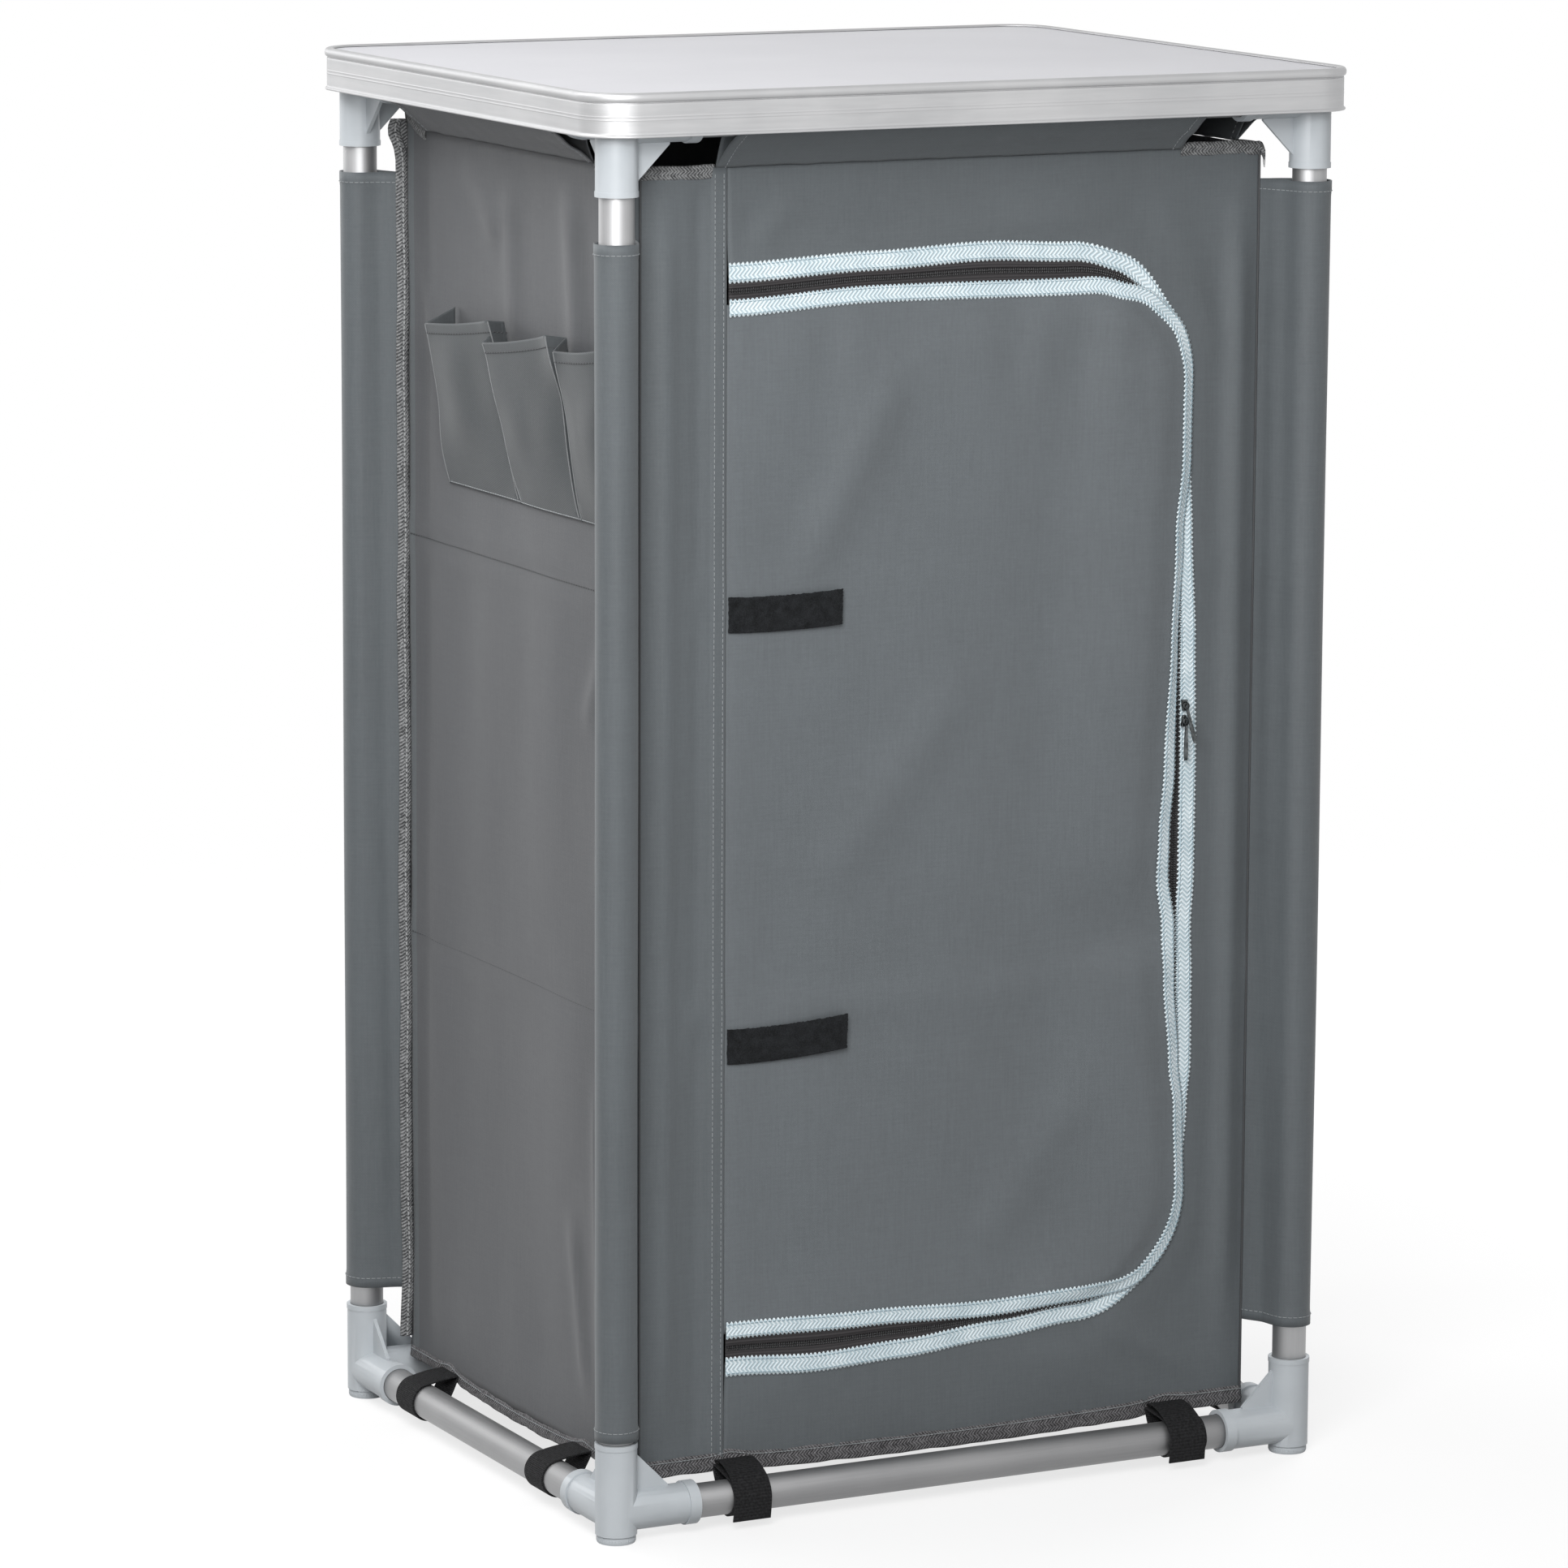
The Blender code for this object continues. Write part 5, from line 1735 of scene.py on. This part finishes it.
# How far in from the rim's outer face, and how far up from its foot, in millimetres.
rim_profile = (
    (6.5, 29.55), (6.45, 30.1), (6.0, 30.5), (5.0, 30.85), (3.6, 31.0), (2.2, 30.85), (1.1, 30.3),
    (0.35, 29.3), (0.0, 28.0), (0.05, 26.6), (0.45, 25.5), (1.15, 24.8), (1.8, 24.5), (2.2, 24.3),
    (2.2, 23.9), (1.8, 23.7),
    (1.65, 23.2), (1.6, 22.6), (1.6, 22.0), (1.6, 15.4), (1.6, 14.8), (1.5, 14.6), (1.5, 14.2), (1.6, 14.0),
    (1.6, 13.6), (1.6, 13.0), (1.6, 12.6), (1.5, 12.4), (1.5, 12.0), (1.6, 11.8), (1.6, 11.2), (1.6, 3.8),
    (1.6, 3.0), (1.35, 2.2), (0.6, 1.7), (0.25, 1.1), (0.3, 0.4), (0.8, 0.0), (2.6, 0.0),
    (3.2, 0.5), (3.2, 24.1), (8.6, 24.1), (8.6, 24.85), (3.6, 24.85), (3.6, 29.2), (4.2, 29.55),
)


def rounded_outline(half_width, half_depth, radius, steps=20):
    """Points and outward directions round a rectangle with round corners, seen from above."""
    outline = []
    for index, (sx, sy) in enumerate(((1, -1), (1, 1), (-1, 1), (-1, -1))):
        middle = Vector((sx * (half_width - radius), sy * (half_depth - radius), 0))
        for step in range(steps + 1):
            angle = (index - 1) * math.pi / 2 + math.pi / 2 * step / steps
            away = Vector((math.cos(angle), math.sin(angle), 0))
            outline.append((middle, away, radius))
    outline.append(outline[0])
    return outline


def laminate_finish():
    finish = new_finish("pale_laminate", (0.56, 0.56, 0.59), 0.46, specular=0.25)
    grain = speckle(finish, 620.0, detail=4.0, roughness=0.7)
    tint = blended(finish, (grain, 0.75), (speckle(finish, 7.0, detail=3.0), 0.25))
    to_shader(
        finish,
        Colour=shade(finish, tint, (0.50, 0.50, 0.528), (0.585, 0.585, 0.612), 0.36, 0.64),
        Roughness=spread(finish, grain, 0.38, 0.50, 0.35, 0.65),
        Normal=relief(finish, grain, 0.00005),
    )
    return finish


bm = block(board_high - board_low, (board_low + board_high) / 2)
round_edges(bm, upright_edges(bm), board_corner, 16)
board = show("tabletop_laminate", bm, laminate_finish(), "tabletop", ["tabletop_board"])
soften(board, board_edge, angle=60.0)

outline = rounded_outline(rim_high.x, rim_high.y, rim_corner)
closed_profile = rim_profile + rim_profile[:1]


def rim_place(u, v):
    middle, away, radius = outline[round(u * (len(outline) - 1))]
    inwards, rise = closed_profile[round(v * (len(closed_profile) - 1))]
    spot = middle + away * (radius - inwards / 1000.0)
    spot.z = rim_low.z + rise / 1000.0
    return spot


bm = cloth_grid(len(outline) - 1, len(closed_profile) - 1, rim_place, (len(outline) - 1, rim_girth))
rim_lengths = measured([middle + away * radius for middle, away, radius in outline])[1]
measure = bm.loops.layers.uv["flat"]
for face in bm.faces:
    for loop in face.loops:
        loop[measure].uv.x = rim_lengths[round(loop[measure].uv.x)]
bmesh.ops.remove_doubles(bm, verts=bm.verts, dist=0.00001)
bmesh.ops.recalc_face_normals(bm, faces=bm.faces)
rim_metal = satin_aluminium("satin_rim", None, 0.45)
show("tabletop_rim_profile", bm, rim_metal, "tabletop", ["tabletop_rim"], smooth_angle=50.0)


# Studio
# A pale floor and a white surround under soft lamps, and the camera at the photograph's angle.
floor_fade = 0.7
floor_reach = 2.4
soft_light = 0.26
floor_glow = 0.75
camera_place = Vector((-2.3656, -4.6177, 1.4175))
camera_turn = 0.4676
camera_dip = 0.17695
camera_roll = 0.00463
frame_pixels = 1932
focal_pixels = 8727.9
sensor_width = 36.0
lamp_aim = Vector((0.0, 0.0, 0.6))


def plainly_seen(finish):
    """1 for what the camera sees straight, in gloss or through glass, and 0 for soft light."""
    path = add_node(finish, "ShaderNodeLightPath").outputs
    seen = figure(finish, "MAXIMUM", path["Is Camera Ray"], path["Is Glossy Ray"])
    return figure(finish, "MAXIMUM", seen, path["Is Transmission Ray"])


bm = bmesh.new()
bmesh.ops.create_circle(bm, cap_ends=True, segments=96, radius=floor_reach)
floor_paint = new_finish("pale_floor", (0.9, 0.9, 0.9), 0.8, specular=0.1)
tree = floor_paint.node_tree
seen = plainly_seen(floor_paint)
to_shader(floor_paint, Colour=shade(floor_paint, seen, (0.34, 0.34, 0.34), (0.92, 0.92, 0.92)))
place = add_node(floor_paint, "ShaderNodeTexCoord").outputs["Object"]
reach = add_node(floor_paint, "ShaderNodeVectorMath", {"operation": "LENGTH"}, Vector=place)
fade = spread(floor_paint, reach.outputs["Value"], 0.0, 1.0, floor_fade, floor_reach)
clear = add_node(floor_paint, "ShaderNodeBsdfTransparent").outputs[0]
glow = add_node(floor_paint, "ShaderNodeEmission").outputs[0]
lit = tree.nodes["Principled BSDF"].outputs[0]
part = figure(floor_paint, "MULTIPLY", seen, floor_glow)
lit = add_node(floor_paint, "ShaderNodeMixShader", i0=part, i1=lit, i2=glow).outputs[0]
mixed = add_node(floor_paint, "ShaderNodeMixShader", i0=fade, i1=lit, i2=clear).outputs[0]
tree.links.new(mixed, tree.nodes["Material Output"].inputs["Surface"])
floor = show("studio_floor", bm, floor_paint, None)
floor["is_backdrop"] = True

world = bpy.data.worlds.new("studio_surround")
world.use_nodes = True
bpy.context.scene.world = world
background = world.node_tree.nodes["Background"]
background.inputs["Color"].default_value = (1.0, 1.0, 1.0, 1.0)
strength = spread(world, plainly_seen(world), soft_light, 1.0)
world.node_tree.links.new(strength, background.inputs["Strength"])

# The fill lamps light the sides and the back, and don't show in gloss.
for name, place, size, power, in_gloss in (
    ("key_lamp", (-1.3, -1.9, 1.5), (1.1, 1.1), 42.0, True),
    ("high_lamp", (-0.9, -1.6, 2.2), (1.1, 1.1), 16.0, True),
    ("left_lamp", (-0.95, 0.25, 1.8), (0.7, 0.7), 8.0, True),
    ("strip_lamp", (2.2, -3.3, 1.1), (0.5, 1.8), 6.0, True),
    ("edge_lamp", (-1.5, 2.9, 1.5), (1.2, 1.2), 16.0, True),
    ("right_fill", (2.5, 1.6, 1.5), (1.6, 1.6), 70.0, False),
    ("back_fill", (-1.2, 2.9, 1.5), (1.6, 1.6), 44.0, False),
):
    light = bpy.data.lights.new(name, "AREA")
    light.shape = "RECTANGLE"
    light.size, light.size_y = size
    light.energy = power
    lamp = bpy.data.objects.new(name, light)
    bpy.context.scene.collection.objects.link(lamp)
    lamp.visible_camera = False
    lamp.visible_glossy = in_gloss
    aim = lamp_aim - Vector(place)
    lamp.matrix_world = Matrix.Translation(place) @ aim.to_track_quat("-Z", "Y").to_matrix().to_4x4()

forward = Vector((
    math.sin(camera_turn) * math.cos(camera_dip),
    math.cos(camera_turn) * math.cos(camera_dip),
    -math.sin(camera_dip),
))
level_right = Vector((math.cos(camera_turn), -math.sin(camera_turn), 0.0))
level_up = level_right.cross(forward)
right = level_right * math.cos(camera_roll) + level_up * math.sin(camera_roll)
above = level_up * math.cos(camera_roll) - level_right * math.sin(camera_roll)
lens = bpy.data.cameras.new("photograph_view")
lens.sensor_width = sensor_width
lens.sensor_fit = "HORIZONTAL"
lens.lens = sensor_width * focal_pixels / frame_pixels
camera = bpy.data.objects.new("photograph_view", lens)
bpy.context.scene.collection.objects.link(camera)
turn = Matrix((right, above, -forward)).transposed().to_4x4()
camera.matrix_world = Matrix.Translation(camera_place) @ turn
bpy.context.scene.camera = camera
bpy.context.scene.view_settings.view_transform = "Standard"


# Bounds
# The measured box of the pieces that are shown, without the backdrop.
low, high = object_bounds()
